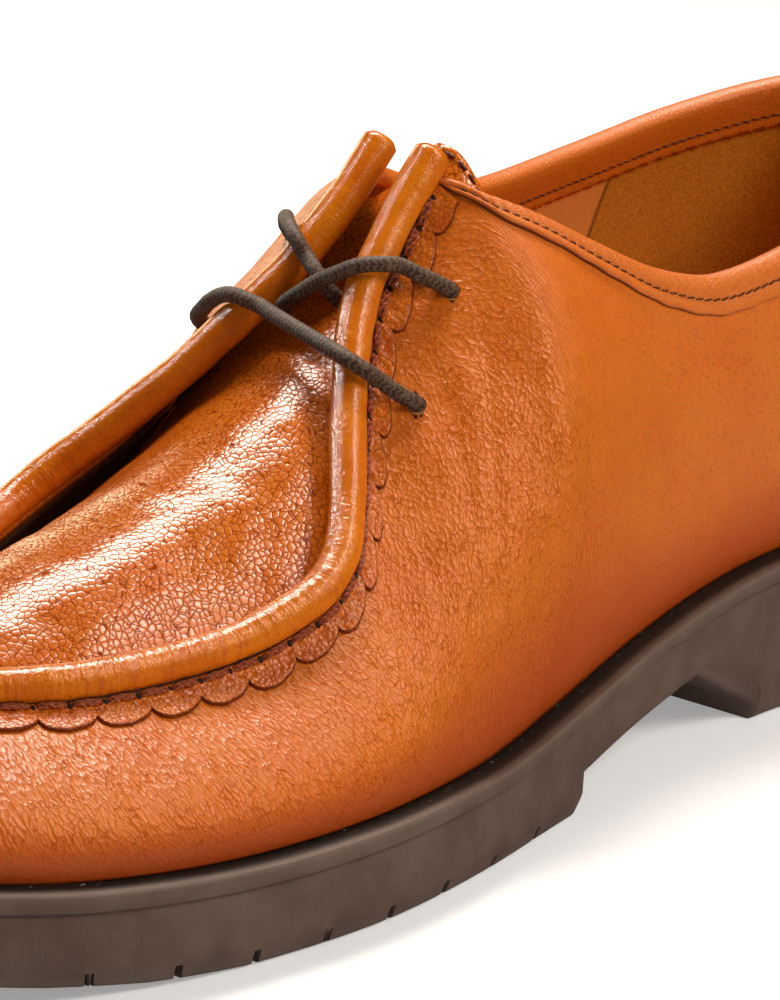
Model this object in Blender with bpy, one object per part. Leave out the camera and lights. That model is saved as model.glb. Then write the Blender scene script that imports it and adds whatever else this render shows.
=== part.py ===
"""Lace-up moccasin-toe shoe for the left foot, standing empty on its rubber sole.

Every shape is worked out in shoe coordinates in millimetres: s runs forward from the back of
the heel, y runs from the outer (lateral, negative) to the inner (medial) side, z is height above
the floor. In the Blender scene the toe points to -X, the outer side faces -Y and +Z is up.
"""
import math

import bmesh
import bpy
import numpy as np

# Driving sizes
SOLE_LENGTH = 300.0
LEDGE = 5.0
GAP = 0.3
WALL = 2.0
BINDING_WIDTH = 6.3
BINDING_STEP = 0.7
ROLL_RADIUS = 3.1
ROLL_LIFT = 1.6
PLATE = 1.6
INSOLE = 2.5
LACE_RADIUS = 1.35
EYELET_RADIUS = 1.6
SECTION_REACH = 0.38

# Sole outline: half widths on both sides of the heel-to-toe line
TOE_TIP_Y = 10.0
OUTLINE_COLUMNS = ("s", "lateral", "medial")
OUTLINE_ROWS = (
    (3.5, 14.5, 14.5),
    (14, 26.5, 26.5),
    (40, 34.5, 34.5),
    (80, 34.0, 31.5),
    (112, 37.5, 29.0),
    (142, 43.5, 32.0),
    (170, 49.5, 40.5),
    (196, 52.5, 49.0),
    (220, 51.0, 53.5),
    (244, 46.0, 53.0),
    (266, 36.5, 47.5),
    (284, 24.0, 37.5),
    (295.5, 9.0, 27.5),
)

# Height of the sole's top lip
LIP_COLUMNS = ("s", "z")
LIP_ROWS = (
    (0, 31.0), (40, 29.6), (80, 27.0), (95, 25.5), (110, 23.4), (125, 21.1), (140, 18.9),
    (155, 17.0), (170, 16.2), (215, 16.2), (250, 17.6), (280, 21.0), (300, 24.0),
)

# Underside of the sole: heel, sloped breast, waist, forefoot tread and toe spring
UNDERSIDE_ROWS = (
    (0.0, 0.0), (79.4, 0.0), (79.7, 3.0), (97.0, 12.6), (110.0, 10.6), (125.0, 8.2),
    (138.0, 6.0), (138.4, 1.0), (139.6, 0.0), (228.0, 0.0), (245.0, 1.0), (262.0, 2.9),
    (280.0, 5.6), (300.0, 9.2),
)
GROOVE_DEPTH = 3.0
GROOVE_HALF_WIDTH = 0.9
GROOVE_RISER = 0.3
FOREFOOT_GROOVES = [153.5 + 14.5 * i for i in range(9)]
HEEL_GROOVES = [20.0 + 15.0 * i for i in range(4)]

# Side of the sole from the lip down: inset from the outline, share of the wall, fixed drop
SIDE_COLUMNS = ("inset", "share", "drop")
SIDE_ROWS = (
    (0.7, 0.0, 0.0),
    (0.0, 0.0, -0.7),
    (0.0, 0.0, -2.9),
    (0.8, 0.0, -3.3),
    (0.7, 0.0, -4.0),
    (0.3, 0.6, 0.0),
    (1.2, 1.0, 1.2),
    (2.4, 1.0, 0.0),
)

# Collar edge of the upper: foot station below it, top point on each side, inward lean
COLLAR_COLUMNS = ("foot", "s", "lateral_y", "lateral_z", "medial_y", "medial_z", "lean", "rise")
COLLAR_ROWS = (
    (3, 8.6, 7.6, 95.7, 7.6, 95.7, 12, 73),
    (12, 15.0, 17.0, 94.3, 17.0, 94.6, 13, 75),
    (34, 35.0, 25.3, 89.6, 25.3, 91.2, 15, 78),
    (60, 61.0, 27.5, 83.0, 27.5, 88.0, 17, 80),
    (88, 86.5, 26.0, 79.4, 25.5, 87.0, 22, 80),
    (104, 100.0, 22.6, 82.4, 23.0, 88.5, 30, 80),
    (118, 112.0, 18.6, 88.6, 20.5, 92.0, 40, 80),
    (131, 122.0, 13.9, 94.4, 18.0, 95.8, 50, 80),
    (139, 129.3, 9.2, 98.0, 15.8, 98.8, 58, 80),
)
HEEL_BACK = (7.5, 0.0, 96.0)
HEEL_LEAN = 12
HEEL_RISE = 72

# Roll round the apron: its centre from the throat's top to the toe, the wall's lean below it,
# the foot station of that section, how far the apron's middle stands over the wall's edge, and
# the lean and reach of the inner side's wall, which lies flatter beside the throat
ROLL_COLUMNS = ("s", "half", "z", "lean", "foot", "crown", "inner_lean", "inner_reach")
ROLL_ROWS = (
    (135.4, 5.8, 102.1, 62, 146, -8, 70, 0.46),
    (141.4, 6.1, 95.7, 62, 151, -8, 74, 0.54),
    (146.6, 7.1, 90.3, 62, 155, -7.2, 77, 0.60),
    (151.1, 8.1, 85.9, 62, 159, -5.6, 79, 0.63),
    (155.0, 10.1, 81.7, 60, 162, -3.4, 79, 0.64),
    (160.9, 14.4, 74.9, 56, 167, 0.8, 72, 0.56),
    (165.1, 18.0, 69.4, 53, 171, 4.4, 62, 0.45),
    (169.4, 22.0, 64.3, 50, 175, 7.4, 54, 0.40),
    (175.9, 28.1, 56.9, 45, 181, 12, 46, 0.38),
    (181.3, 32.1, 51.9, 42, 186, 14.5, 42, 0.38),
    (187.6, 33.9, 47.8, 41, 192, 15.6, 41, 0.38),
    (194.7, 33.6, 45.0, 41, 199, 16.4, 41, 0.38),
    (204.0, 32.1, 42.4, 43, 210, 16.4, 43, 0.38),
    (216.0, 30.2, 41.3, 48, 225, 14.6, 48, 0.38),
    (227.0, 28.0, 41.0, 55, 240, 12, 55, 0.38),
    (237.0, 24.6, 41.0, 63, 256, 8.8, 63, 0.38),
    (248.0, 17.6, 41.3, 74, 275, 3, 74, 0.38),
    (255.5, 9.0, 41.8, 82, 291, -1.6, 82, 0.38),
)
ROLL_FRONT = (258.5, 42.0)
ROLL_TOP = (132.6, 5.8, 105.0)
FRONT_LEAN = 85
FRONT_CROWN = -2.4
VAMP_RISE = 78
CENTRE_LINE = ((100.0, 3.0), (150.0, 5.0), (200.0, 7.0), (260.0, 9.0), (300.0, 10.0))

# Apron edge hidden below the wall's top edge, from the throat to the toe.
# The crown leans to the outer side by lean, and the inner edge lies deeper.
TUCK_COLUMNS = ("s", "tuck", "steep", "gap", "lean", "deeper")
TUCK_ROWS = (
    (134.0, 9.6, 30, 1.7, 0.0, 0.0), (143.0, 10.0, 30, 0.9, 0.0, 0.0), (152.0, 10.0, 30, 0.7, 0.0, 0.0),
    (166.0, 6.0, 38, 0.7, 3.5, 3.0), (178.0, 3.4, 45, 0.7, 6.0, 5.5), (216.0, 3.0, 44, 0.7, 5.5, 4.5),
    (237.0, 3.0, 28, 0.7, 2.5, 1.5), (248.0, 2.6, 14, 0.7, 0.0, 0.0), (255.5, 2.2, 3, 0.7, 0.0, 0.0),
    (258.5, 2.0, 1, 0.7, 0.0, 0.0),
)
PLATE_STEEPNESS = 1.35
DEEPER_STEEPNESS = 2.5
TONGUE_STEPS = (0.45, 0.85, 1.0)
TONGUE_MIDDLE_REACH = (-9.5, 0.0, 11.5)
TONGUE_EDGE_REACH = (-9.0, 0.0, -3.6)
TONGUE_NARROWING = 0.24

# Scalloped strip below the roll
SCALLOP_START = 7.8
SCALLOP_PITCH = 9.4
SCALLOP_DEPTH = 4.0
SCALLOP_BAND = 2.2
SCALLOP_THICKNESS = 0.9

# Eyelets: station of the roll beside each one, and the distance below the wall's top edge
EYELETS = ((144.4, 11.0), (158.5, 11.8))

# Lace between its eyelets: the lower bar over both rolls, the run that crosses on top, from the
# outer top eyelet, and the run under it, from the inner top eyelet
LACE_BAR_ROUTE = (
    (157.6, -16.9, 71.4), (159.4, -15.8, 72.9), (161.1, -14.5, 74.6), (163.2, -13.6, 76.2),
    (164.2, -11.6, 77.4), (164.3, -8.8, 78.2), (163.2, -3.0, 79.0), (162.1, 3.0, 79.8),
    (161.1, 8.0, 80.5), (160.2, 12.8, 81.2), (160.7, 14.8, 81.7), (161.1, 16.9, 82.1),
    (160.8, 19.7, 81.5), (160.1, 22.9, 79.8), (158.4, 26.2, 77.5), (155.8, 29.8, 74.5),
)
LACE_OVER_ROUTE = (
    (143.7, -11.4, 86.8), (145.9, -10.2, 88.1), (148.0, -7.9, 89.5), (150.6, -7.1, 90.1),
    (152.5, -5.7, 90.2), (154.0, -3.8, 89.8), (154.7, -0.8, 88.3), (155.3, 3.5, 86.0),
    (156.0, 6.4, 83.9), (156.3, 8.4, 82.4), (156.4, 10.2, 80.8),
)
LACE_UNDER_ROUTE = (
    (141.6, 24.6, 88.6), (143.6, 21.6, 90.5), (148.0, 16.4, 92.7), (152.7, 10.8, 91.1),
    (152.6, 8.8, 88.9), (153.5, 5.2, 86.4), (152.9, 3.5, 84.2), (151.7, 2.3, 82.5),
)

MATERIALS = {
    "leather": ((0.56, 0.16, 0.025), 0.42),
    "roll": ((0.60, 0.19, 0.03), 0.40),
    "rubber": ((0.030, 0.020, 0.016), 0.62),
    "lining": ((0.62, 0.40, 0.20), 0.75),
    "cord": ((0.030, 0.016, 0.010), 0.5),
}


# Curves and tables
def hermite(knots, values, slopes, where):
    """Cubic curve through values at knots with the given slopes."""
    index = np.clip(np.searchsorted(knots, where, side="right") - 1, 0, len(knots) - 2)
    width = knots[index + 1] - knots[index]
    t = (where - knots[index]) / width
    return ((1 + 2 * t) * (1 - t) ** 2 * values[index] + t * (1 - t) ** 2 * width * slopes[index]
            + t * t * (3 - 2 * t) * values[index + 1] + t * t * (t - 1) * width * slopes[index + 1])


def smooth(knots, values, where):
    """Curve through a table column without overshoot between its rows."""
    knots = np.asarray(knots, float)
    values = np.asarray(values, float)
    step = np.diff(values) / np.diff(knots)
    slopes = np.zeros_like(values)
    same = step[:-1] * step[1:] > 0
    safe = np.where(same, step[:-1] + step[1:], 1.0)
    slopes[1:-1] = np.where(same, 2 * step[:-1] * step[1:] / safe, 0.0)
    slopes[0] = step[0]
    slopes[-1] = step[-1]
    where = np.clip(np.asarray(where, float), knots[0], knots[-1])
    return hermite(knots, values, slopes, where)


class Table:
    """Rows with named columns, read along the first column or by row number."""

    def __init__(self, names, rows):
        self.names = names
        self.rows = np.array(rows, float)

    def column(self, name):
        return self.rows[:, self.names.index(name)]

    def at(self, name, where):
        return smooth(self.rows[:, 0], self.column(name), where)


class RingCurve:
    """Closed smooth curve through rows of values, one lap being `lap` long."""

    def __init__(self, knots, values, lap, gain=None):
        values = np.asarray(values, float)
        if gain is None:
            gain = np.zeros(values.shape[1:])
        self.lap = lap
        self.knots = np.concatenate([knots[-2:] - lap, knots, knots[:3] + lap])
        self.values = np.concatenate([values[-2:] - gain, values, values[:3] + gain])
        rise = self.values[2:] - self.values[:-2]
        run = self.knots[2:] - self.knots[:-2]
        slopes = np.zeros_like(self.values)
        slopes[1:-1] = rise / run.reshape((-1,) + (1,) * (self.values.ndim - 1))
        self.slopes = slopes

    def at(self, where):
        where = np.mod(np.asarray(where, float), self.lap)
        index = np.clip(np.searchsorted(self.knots, where, side="right") - 1, 1, len(self.knots) - 3)
        shape = where.shape + (1,) * (self.values.ndim - 1)
        width = (self.knots[index + 1] - self.knots[index]).reshape(shape)
        t = ((where - self.knots[index]).reshape(shape)) / width
        start, end = self.values[index], self.values[index + 1]
        leave, arrive = self.slopes[index], self.slopes[index + 1]
        first = (1 + 2 * t) * (1 - t) ** 2 * start + t * (1 - t) ** 2 * width * leave
        return first + t * t * (3 - 2 * t) * end + t * t * (t - 1) * width * arrive


def open_curve(points, where):
    """Smooth open curve through points; where runs from 0 to 1 along its chord length."""
    points = np.asarray(points, float)
    length = np.concatenate([[0.0], np.cumsum(np.linalg.norm(np.diff(points, axis=0), axis=1))])
    knots = length / length[-1]
    slopes = np.gradient(points, knots, axis=0)
    where = np.asarray(where, float)
    return np.stack([hermite(knots, points[:, k], slopes[:, k], where) for k in range(3)], -1)


LIP = Table(LIP_COLUMNS, LIP_ROWS)
OUTLINE = Table(OUTLINE_COLUMNS, OUTLINE_ROWS)
COLLAR = Table(COLLAR_COLUMNS, COLLAR_ROWS)
ROLL = Table(ROLL_COLUMNS, ROLL_ROWS)
TUCK = Table(TUCK_COLUMNS, TUCK_ROWS)
SIDE = Table(SIDE_COLUMNS, SIDE_ROWS)


def centre_y(s):
    """Middle line of the apron and throat."""
    return np.interp(s, [row[0] for row in CENTRE_LINE], [row[1] for row in CENTRE_LINE])


class Outline:
    """The sole's outline moved inward by an inset, as one lap: heel, outer side, toe, inner side."""

    SPAN_POINTS = 40

    def __init__(self, inset):
        s, lateral, medial = OUTLINE.rows.T
        outer = list(zip(s, -lateral))
        inner = list(zip(s, medial))
        ring = np.array([(0.0, 0.0)] + outer + [(SOLE_LENGTH, TOE_TIP_Y)] + inner[::-1])
        count = len(ring)
        chords = np.linalg.norm(np.roll(ring, -1, axis=0) - ring, axis=1)
        knots = np.concatenate([[0.0], np.cumsum(chords)])
        curve = RingCurve(knots[:-1], ring, knots[-1])
        spans = np.arange(count * self.SPAN_POINTS) / self.SPAN_POINTS
        dense = curve.at(np.interp(spans, np.arange(count + 1), knots))
        tangent = np.roll(dense, -1, axis=0) - np.roll(dense, 1, axis=0)
        tangent /= np.linalg.norm(tangent, axis=1)[:, None]
        self.normals = np.stack([tangent[:, 1], -tangent[:, 0]], 1)
        self.points = dense - inset * self.normals
        steps = np.linalg.norm(np.roll(self.points, -1, axis=0) - self.points, axis=1)
        self.arcs = np.concatenate([[0.0], np.cumsum(steps)[:-1]])
        self.lap = float(steps.sum())
        self.toe = int(np.argmax(self.points[:, 0]))
        self.inset = inset

    def at_arc(self, arc):
        """Points and outward normals at distances along the lap."""
        arc = np.mod(arc, self.lap)
        knots = np.append(self.arcs, self.lap)
        closed = [np.append(column, column[0]) for column in (*self.points.T, *self.normals.T)]
        s, y, across, along = [np.interp(arc, knots, column) for column in closed]
        length = np.hypot(across, along)
        return np.stack([s, y], -1), np.stack([across / length, along / length], -1)

    def inset_station(self, s):
        """Station on this outline for a station on the sole's own outline."""
        return self.inset + np.asarray(s, float) * (1 - 2 * self.inset / SOLE_LENGTH)

    def arc_of(self, side, s):
        """Distance along the lap to a station on one side (-1 outer, +1 inner)."""
        place = self.inset_station(s)
        if side < 0:
            half = slice(0, self.toe + 1)
            return np.interp(place, self.points[half, 0], self.arcs[half])
        back = np.append(self.points[self.toe:, 0], self.points[0, 0])[::-1]
        arcs = np.append(self.arcs[self.toe:], self.lap)[::-1]
        return np.interp(place, back, arcs)

    def pair(self, side, s):
        """Points at stations on one side, for pieces closed straight across."""
        return self.at_arc(self.arc_of(side, s))[0]


MID_Y = 0.5 * (Outline(0.0).points[:, 1].min() + Outline(0.0).points[:, 1].max())


def world(points):
    """Shoe millimetres to scene metres, with the origin under the middle of the shoe."""
    points = np.asarray(points, float)
    moved = np.stack([SOLE_LENGTH / 2 - points[..., 0], points[..., 1] - MID_Y, points[..., 2]], -1)
    return moved * 0.001


# Upper: one surface from the ledge of the sole to the collar, throat and apron edge
def roll_chain(side):
    """Centre points of the roll on one side, from its top end to the middle of the toe."""
    s = np.concatenate([[ROLL_TOP[0]], ROLL.column("s"), [ROLL_FRONT[0]]])
    half = np.concatenate([[ROLL_TOP[1]], ROLL.column("half"), [0.0]])
    z = np.concatenate([[ROLL_TOP[2]], ROLL.column("z"), [ROLL_FRONT[1]]])
    return np.column_stack([s, centre_y(s) + side * half, z])


def roll_centres():
    """Centre points of the whole roll, from the outer top end round the toe to the inner top end."""
    return np.concatenate([roll_chain(-1), roll_chain(1)[-2::-1]])


def unit(vector):
    return vector / np.linalg.norm(vector)


def roll_wall_tops(side):
    """Top points of the wall beside the roll, at each roll row and at the toe's middle."""
    chain = roll_chain(side)
    whole = roll_centres() if side < 0 else roll_centres()[::-1]
    tangents = np.gradient(whole, axis=0)[1:len(chain)]
    leans = np.append(ROLL.column("lean" if side < 0 else "inner_lean"), FRONT_LEAN)
    feet = np.append(ROLL.column("foot"), SOLE_LENGTH)
    reach = math.sqrt((ROLL_RADIUS + GAP + 0.05) ** 2 - ROLL_LIFT ** 2)
    tops = []
    for centre, tangent, lean, foot in zip(chain[1:], tangents, np.radians(leans), feet):
        outward = np.append(FEATHER.at_arc(FEATHER.arc_of(side, foot))[1], 0.0)
        along = -outward * math.sin(lean) + np.array([0.0, 0.0, math.cos(lean)])
        tangent = unit(tangent)
        along = unit(along - tangent * (along @ tangent))
        normal = np.cross(along, tangent)
        facing = outward * math.cos(lean) + np.array([0.0, 0.0, math.sin(lean)])
        normal *= math.copysign(1.0, normal @ facing)
        tops.append(centre - along * reach - normal * ROLL_LIFT)
    return tops


def ring_rows():
    """Sections of the upper in lap order: foot arc, top point, lean, rise and top reach of each."""
    rows = [(0.0, HEEL_BACK, HEEL_LEAN, HEEL_RISE, SECTION_REACH)]
    collar = [dict(zip(COLLAR.names, row)) for row in COLLAR.rows]
    sides = {}
    for side, name in ((-1, "lateral"), (1, "medial")):
        made = []
        for row in collar:
            top = (row["s"], side * row[name + "_y"], row[name + "_z"])
            made.append((FEATHER.arc_of(side, row["foot"]), top, row["lean"], row["rise"], SECTION_REACH))
        rolls = [dict(zip(ROLL.names, row)) for row in ROLL.rows]
        for row, top in zip(rolls, roll_wall_tops(side)):
            lean = row["lean"] if side < 0 else row["inner_lean"]
            reach = SECTION_REACH if side < 0 else row["inner_reach"]
            made.append((FEATHER.arc_of(side, row["foot"]), top, lean, VAMP_RISE, reach))
        sides[side] = made
    toe = FEATHER.arc_of(-1, SOLE_LENGTH)
    front = (toe, roll_wall_tops(-1)[-1], FRONT_LEAN, VAMP_RISE, SECTION_REACH)
    return rows + sides[-1] + [front] + sides[1][::-1]


FEATHER = Outline(LEDGE)
RING = ring_rows()
RING_TOPS = np.array([row[1] for row in RING], float)
RING_FEET = np.array([FEATHER.at_arc(row[0])[0] for row in RING])
RING_STEP = 0.5 * (np.linalg.norm(np.roll(RING_TOPS, -1, axis=0) - RING_TOPS, axis=1)
                   + np.linalg.norm(np.roll(RING_FEET, -1, axis=0) - RING_FEET, axis=1))
RING_KNOTS = np.concatenate([[0.0], np.cumsum(RING_STEP)[:-1]])
RING_LAP = float(RING_STEP.sum())
RING_VALUES = [np.concatenate([[row[0]], row[1], row[2:]]) for row in RING]
SECTION = RingCurve(RING_KNOTS, RING_VALUES, RING_LAP, gain=np.array([FEATHER.lap, 0, 0, 0, 0, 0, 0]))
COLLAR_COUNT = len(COLLAR_ROWS)
ROLL_COUNT = len(ROLL_ROWS)
LATERAL_ROLL_KNOTS = RING_KNOTS[1 + COLLAR_COUNT:1 + COLLAR_COUNT + ROLL_COUNT + 1]
MEDIAL_ROLL_KNOTS = RING_KNOTS[1 + COLLAR_COUNT + ROLL_COUNT:1 + COLLAR_COUNT + 2 * ROLL_COUNT + 1][::-1]


def section_points(u, v):
    """Outer surface of the upper: u along the lap, v from the ledge (0) to the top edge (1)."""
    u, v = np.broadcast_arrays(np.asarray(u, float), np.asarray(v, float))
    values = SECTION.at(u)
    foot, outward = FEATHER.at_arc(values[..., 0])
    base = np.concatenate([foot, (LIP.at("z", foot[..., 0]) + GAP)[..., None]], -1)
    outward = np.concatenate([outward, np.zeros(u.shape + (1,))], -1)
    top = values[..., 1:4]
    lean = np.radians(values[..., 4])[..., None]
    rise = np.radians(values[..., 5])[..., None]
    upward = np.array([0.0, 0.0, 1.0])
    chord = np.linalg.norm(top - base, axis=-1, keepdims=True)
    low = base + SECTION_REACH * chord * (outward * np.cos(rise) + upward * np.sin(rise))
    high = top - values[..., 6:7] * chord * (upward * np.cos(lean) - outward * np.sin(lean))
    v = v[..., None]
    return ((1 - v) ** 3 * base + 3 * v * (1 - v) ** 2 * low + 3 * v * v * (1 - v) * high + v ** 3 * top)


def upper_point(u, v, offset=0.0):
    """Point of the upper's outer surface, moved out along its normal by offset."""
    u, v, offset = np.broadcast_arrays(*[np.asarray(value, float) for value in (u, v, offset)])
    ahead = np.clip(v + 0.01, 0, 1)
    behind = np.clip(v - 0.01, 0, 1)
    along = section_points(u + 0.6, v) - section_points(u - 0.6, v)
    upward = section_points(u, ahead) - section_points(u, behind)
    normal = np.cross(along, upward)
    normal /= np.linalg.norm(normal, axis=-1, keepdims=True)
    return section_points(u, v) + normal * offset[..., None]


def below_top(u, distance):
    """Section parameter v at a distance below the top edge, measured along the surface."""
    u, distance = np.broadcast_arrays(np.asarray(u, float), np.asarray(distance, float))
    flat_u = u.ravel()
    v = np.linspace(1.0, 0.0, 61)
    path = section_points(flat_u[:, None], v[None, :])
    steps = np.linalg.norm(np.diff(path, axis=1), axis=-1)
    length = np.concatenate([np.zeros((len(flat_u), 1)), np.cumsum(steps, axis=1)], axis=1)
    found = [np.interp(d, row, v) for d, row in zip(distance.ravel(), length)]
    return np.array(found).reshape(u.shape)


def roll_lap(side, station):
    """Place on the upper's lap beside a station of the roll."""
    stations = np.append(ROLL.column("s"), ROLL_FRONT[0])
    knots = LATERAL_ROLL_KNOTS if side < 0 else MEDIAL_ROLL_KNOTS
    return np.interp(station, stations, knots)


def binding_amount(u):
    """1 on the collar, 0 on the throat and apron, with a short run-out at the throat's corner."""
    start = LATERAL_ROLL_KNOTS[0]
    end = MEDIAL_ROLL_KNOTS[0]
    u = np.mod(u, RING_LAP)
    return np.clip(np.maximum((start - 2.0 - u) / 2.0, (u - end - 2.0) / 2.0), 0, 1)


# Blender objects
def material(name):
    colour, roughness = MATERIALS[name]
    made = bpy.data.materials.get(name)
    if made is None:
        made = bpy.data.materials.new(name)
        made.use_nodes = True
        shader = made.node_tree.nodes["Principled BSDF"]
        shader.inputs["Base Color"].default_value = (*colour, 1.0)
        shader.inputs["Roughness"].default_value = roughness
        shader.inputs["Metallic"].default_value = 0.0
        made.diffuse_color = (*colour, 1.0)
    return made


def add_object(name, points, faces, finish):
    """One closed mesh object from shoe points and faces, with its faces turned outward."""
    mesh = bpy.data.meshes.new(name)
    mesh.from_pydata([tuple(point) for point in world(points)], [], [tuple(face) for face in faces])
    work = bmesh.new()
    work.from_mesh(mesh)
    bmesh.ops.triangulate(work, faces=work.faces)
    bmesh.ops.recalc_face_normals(work, faces=work.faces)
    work.to_mesh(mesh)
    work.free()
    made = bpy.data.objects.new(name, mesh)
    mesh.materials.append(material(finish))
    bpy.context.collection.objects.link(made)
    return made


def grid_faces(rows, columns, wrap_rows, wrap_columns):
    """Quads of a grid of points stored row after row."""
    faces = []
    for i in range(rows if wrap_rows else rows - 1):
        for j in range(columns if wrap_columns else columns - 1):
            a = i * columns + j
            b = i * columns + (j + 1) % columns
            c = ((i + 1) % rows) * columns + (j + 1) % columns
            d = ((i + 1) % rows) * columns + j
            faces.append((a, b, c, d))
    return faces


def paired_cap(start, stations):
    """Faces straight across one ring made of a heel point, outer side, toe point and inner side."""
    inner = stations - 2
    lap = 2 * inner + 2

    def outer_side(i):
        return start + i

    def inner_side(i):
        return start + (lap - i) % lap

    faces = [(start, outer_side(1), inner_side(1))]
    for i in range(1, stations - 2):
        faces.append((outer_side(i), outer_side(i + 1), inner_side(i + 1), inner_side(i)))
    faces.append((outer_side(stations - 2), start + stations - 1, inner_side(stations - 2)))
    return faces


def ring_at(outline, stations, heights):
    """One ring of points in lap order at paired stations."""
    outer = outline.pair(-1, stations)
    inner = outline.pair(1, stations[1:-1])[::-1]
    flat = np.concatenate([outer, inner])
    z = np.concatenate([heights, heights[1:-1][::-1]])
    return np.column_stack([flat, z])


def tube(path, radius, sides, round_ends):
    """Points and faces of a round tube along a path, closed at both ends."""
    path = np.asarray(path, float)
    tangent = np.gradient(path, axis=0)
    tangent /= np.linalg.norm(tangent, axis=1)[:, None]
    radii = np.full(len(path), radius)
    if round_ends:
        radii[[0, -1]] *= 0.55
    side = np.cross(tangent[0], (0.0, 0.0, 1.0))
    if np.linalg.norm(side) < 0.1:
        side = np.cross(tangent[0], (0.0, 1.0, 0.0))
    points = []
    angles = np.arange(sides) * 2 * math.pi / sides
    for place, direction, size in zip(path, tangent, radii):
        side = side - direction * (side @ direction)
        side /= np.linalg.norm(side)
        other = np.cross(direction, side)
        points.append(place + size * (np.outer(np.cos(angles), side) + np.outer(np.sin(angles), other)))
    faces = grid_faces(len(path), sides, False, True)
    faces.append(tuple(range(sides)))
    last = (len(path) - 1) * sides
    faces.append(tuple(range(last, last + sides)))
    return np.concatenate(points), faces


# Sole
def underside(s):
    stations, heights = np.array(UNDERSIDE_ROWS).T
    return np.interp(s, stations, heights)


def sole_stations():
    """Stations along the sole with the underside's height at each, grooves cut in."""
    special = [row[0] for row in UNDERSIDE_ROWS]
    grooves = []
    for middle in HEEL_GROOVES + FOREFOOT_GROOVES:
        wide = GROOVE_HALF_WIDTH + GROOVE_RISER
        depth = underside(middle) + GROOVE_DEPTH
        grooves.append((middle - wide, underside(middle - wide)))
        grooves.append((middle - GROOVE_HALF_WIDTH, depth))
        grooves.append((middle + GROOVE_HALF_WIDTH, depth))
        grooves.append((middle + wide, underside(middle + wide)))
    tips = [0.5, 2.0, 5.0, 9.5, 290.0, 294.5, 297.7, 299.4]
    taken = np.array(special + tips + [row[0] for row in grooves])
    regular = [s for s in np.arange(15.0, 288.0, 7.0) if np.abs(taken - s).min() > 2.6]
    plain = [(s, float(underside(s))) for s in special + tips + regular]
    return np.array(sorted(plain + grooves))


def build_sole():
    stations, bottom = sole_stations().T
    lip = LIP.at("z", stations)
    rings = []
    for inset, share, drop in SIDE.rows:
        heights = lip + (bottom - lip) * share + drop
        rings.append(ring_at(Outline(inset), stations, heights))
    count = len(rings[0])
    faces = grid_faces(len(rings), count, False, True)
    faces += paired_cap(0, len(stations))
    faces += paired_cap((len(rings) - 1) * count, len(stations))
    return add_object("sole", np.concatenate(rings), faces, "rubber")


def build_insole():
    heel = [0, 0.6, 2.4, 5.5, 10]
    toe = [290, 295.5, 298.6, 299.7, 300]
    stations = np.concatenate([heel, np.arange(18, 285, 12), toe])
    inner = Outline(LEDGE + WALL + 0.9)
    floor = LIP.at("z", inner.inset_station(stations)) + GAP
    rings = [ring_at(inner, stations, floor), ring_at(inner, stations, floor + INSOLE)]
    count = len(rings[0])
    faces = grid_faces(2, count, False, True)
    faces += paired_cap(0, len(stations)) + paired_cap(count, len(stations))
    return add_object("insole", np.concatenate(rings), faces, "lining")


# Upper, apron and trims
def upper_columns():
    """Places on the lap for the upper's sections, closer at the throat's corners and the toe."""
    between = []
    for i in range(len(RING_KNOTS)):
        start = RING_KNOTS[i]
        width = RING_STEP[i]
        parts = max(1, int(round(width / 6.5)))
        between += [start + width * k / parts for k in range(parts)]
    return np.array(between)


def build_upper():
    u = upper_columns()
    step = below_top(u, BINDING_WIDTH)
    under = below_top(u, BINDING_WIDTH + 0.4)
    amount = binding_amount(u) * BINDING_STEP
    rows = [upper_point(u, under * share) for share in np.linspace(0.0, 1.0, 7)]
    rows.append(upper_point(u, step, amount))
    rows.append(upper_point(u, np.ones_like(u), amount))
    rows.append(upper_point(u, np.ones_like(u), -WALL))
    for share in np.linspace(0.82, 0.0, 5):
        rows.append(upper_point(u, share, -WALL))
    points = np.concatenate(rows)
    made = add_object("upper", points, grid_faces(len(rows), len(u), True, True), "leather")
    for side in (-1, 1):
        for number, (station, below) in enumerate(EYELETS):
            punch_hole(made, side, station, below, number)
    return made


def eyelet_place(side, station, below, offset):
    lap = roll_lap(side, station)
    return upper_point(lap, below_top(lap, below), offset)


def punch_hole(target, side, station, below, number):
    """Round hole through the wall, by a hidden cutter square to the surface."""
    outside = eyelet_place(side, station, below, 4.0)
    inside = eyelet_place(side, station, below, -WALL - 4.0)
    points, faces = tube(np.linspace(outside, inside, 2), EYELET_RADIUS, 12, False)
    name = "cut_{}_{}".format("lateral" if side < 0 else "medial", number)
    cutter = add_object(name, points, faces, "leather")
    cutter.hide_render = True
    cutter.display_type = "WIRE"
    cut = target.modifiers.new(cutter.name, "BOOLEAN")
    cut.operation = "DIFFERENCE"
    cut.solver = "EXACT"
    cut.object = cutter


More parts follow.
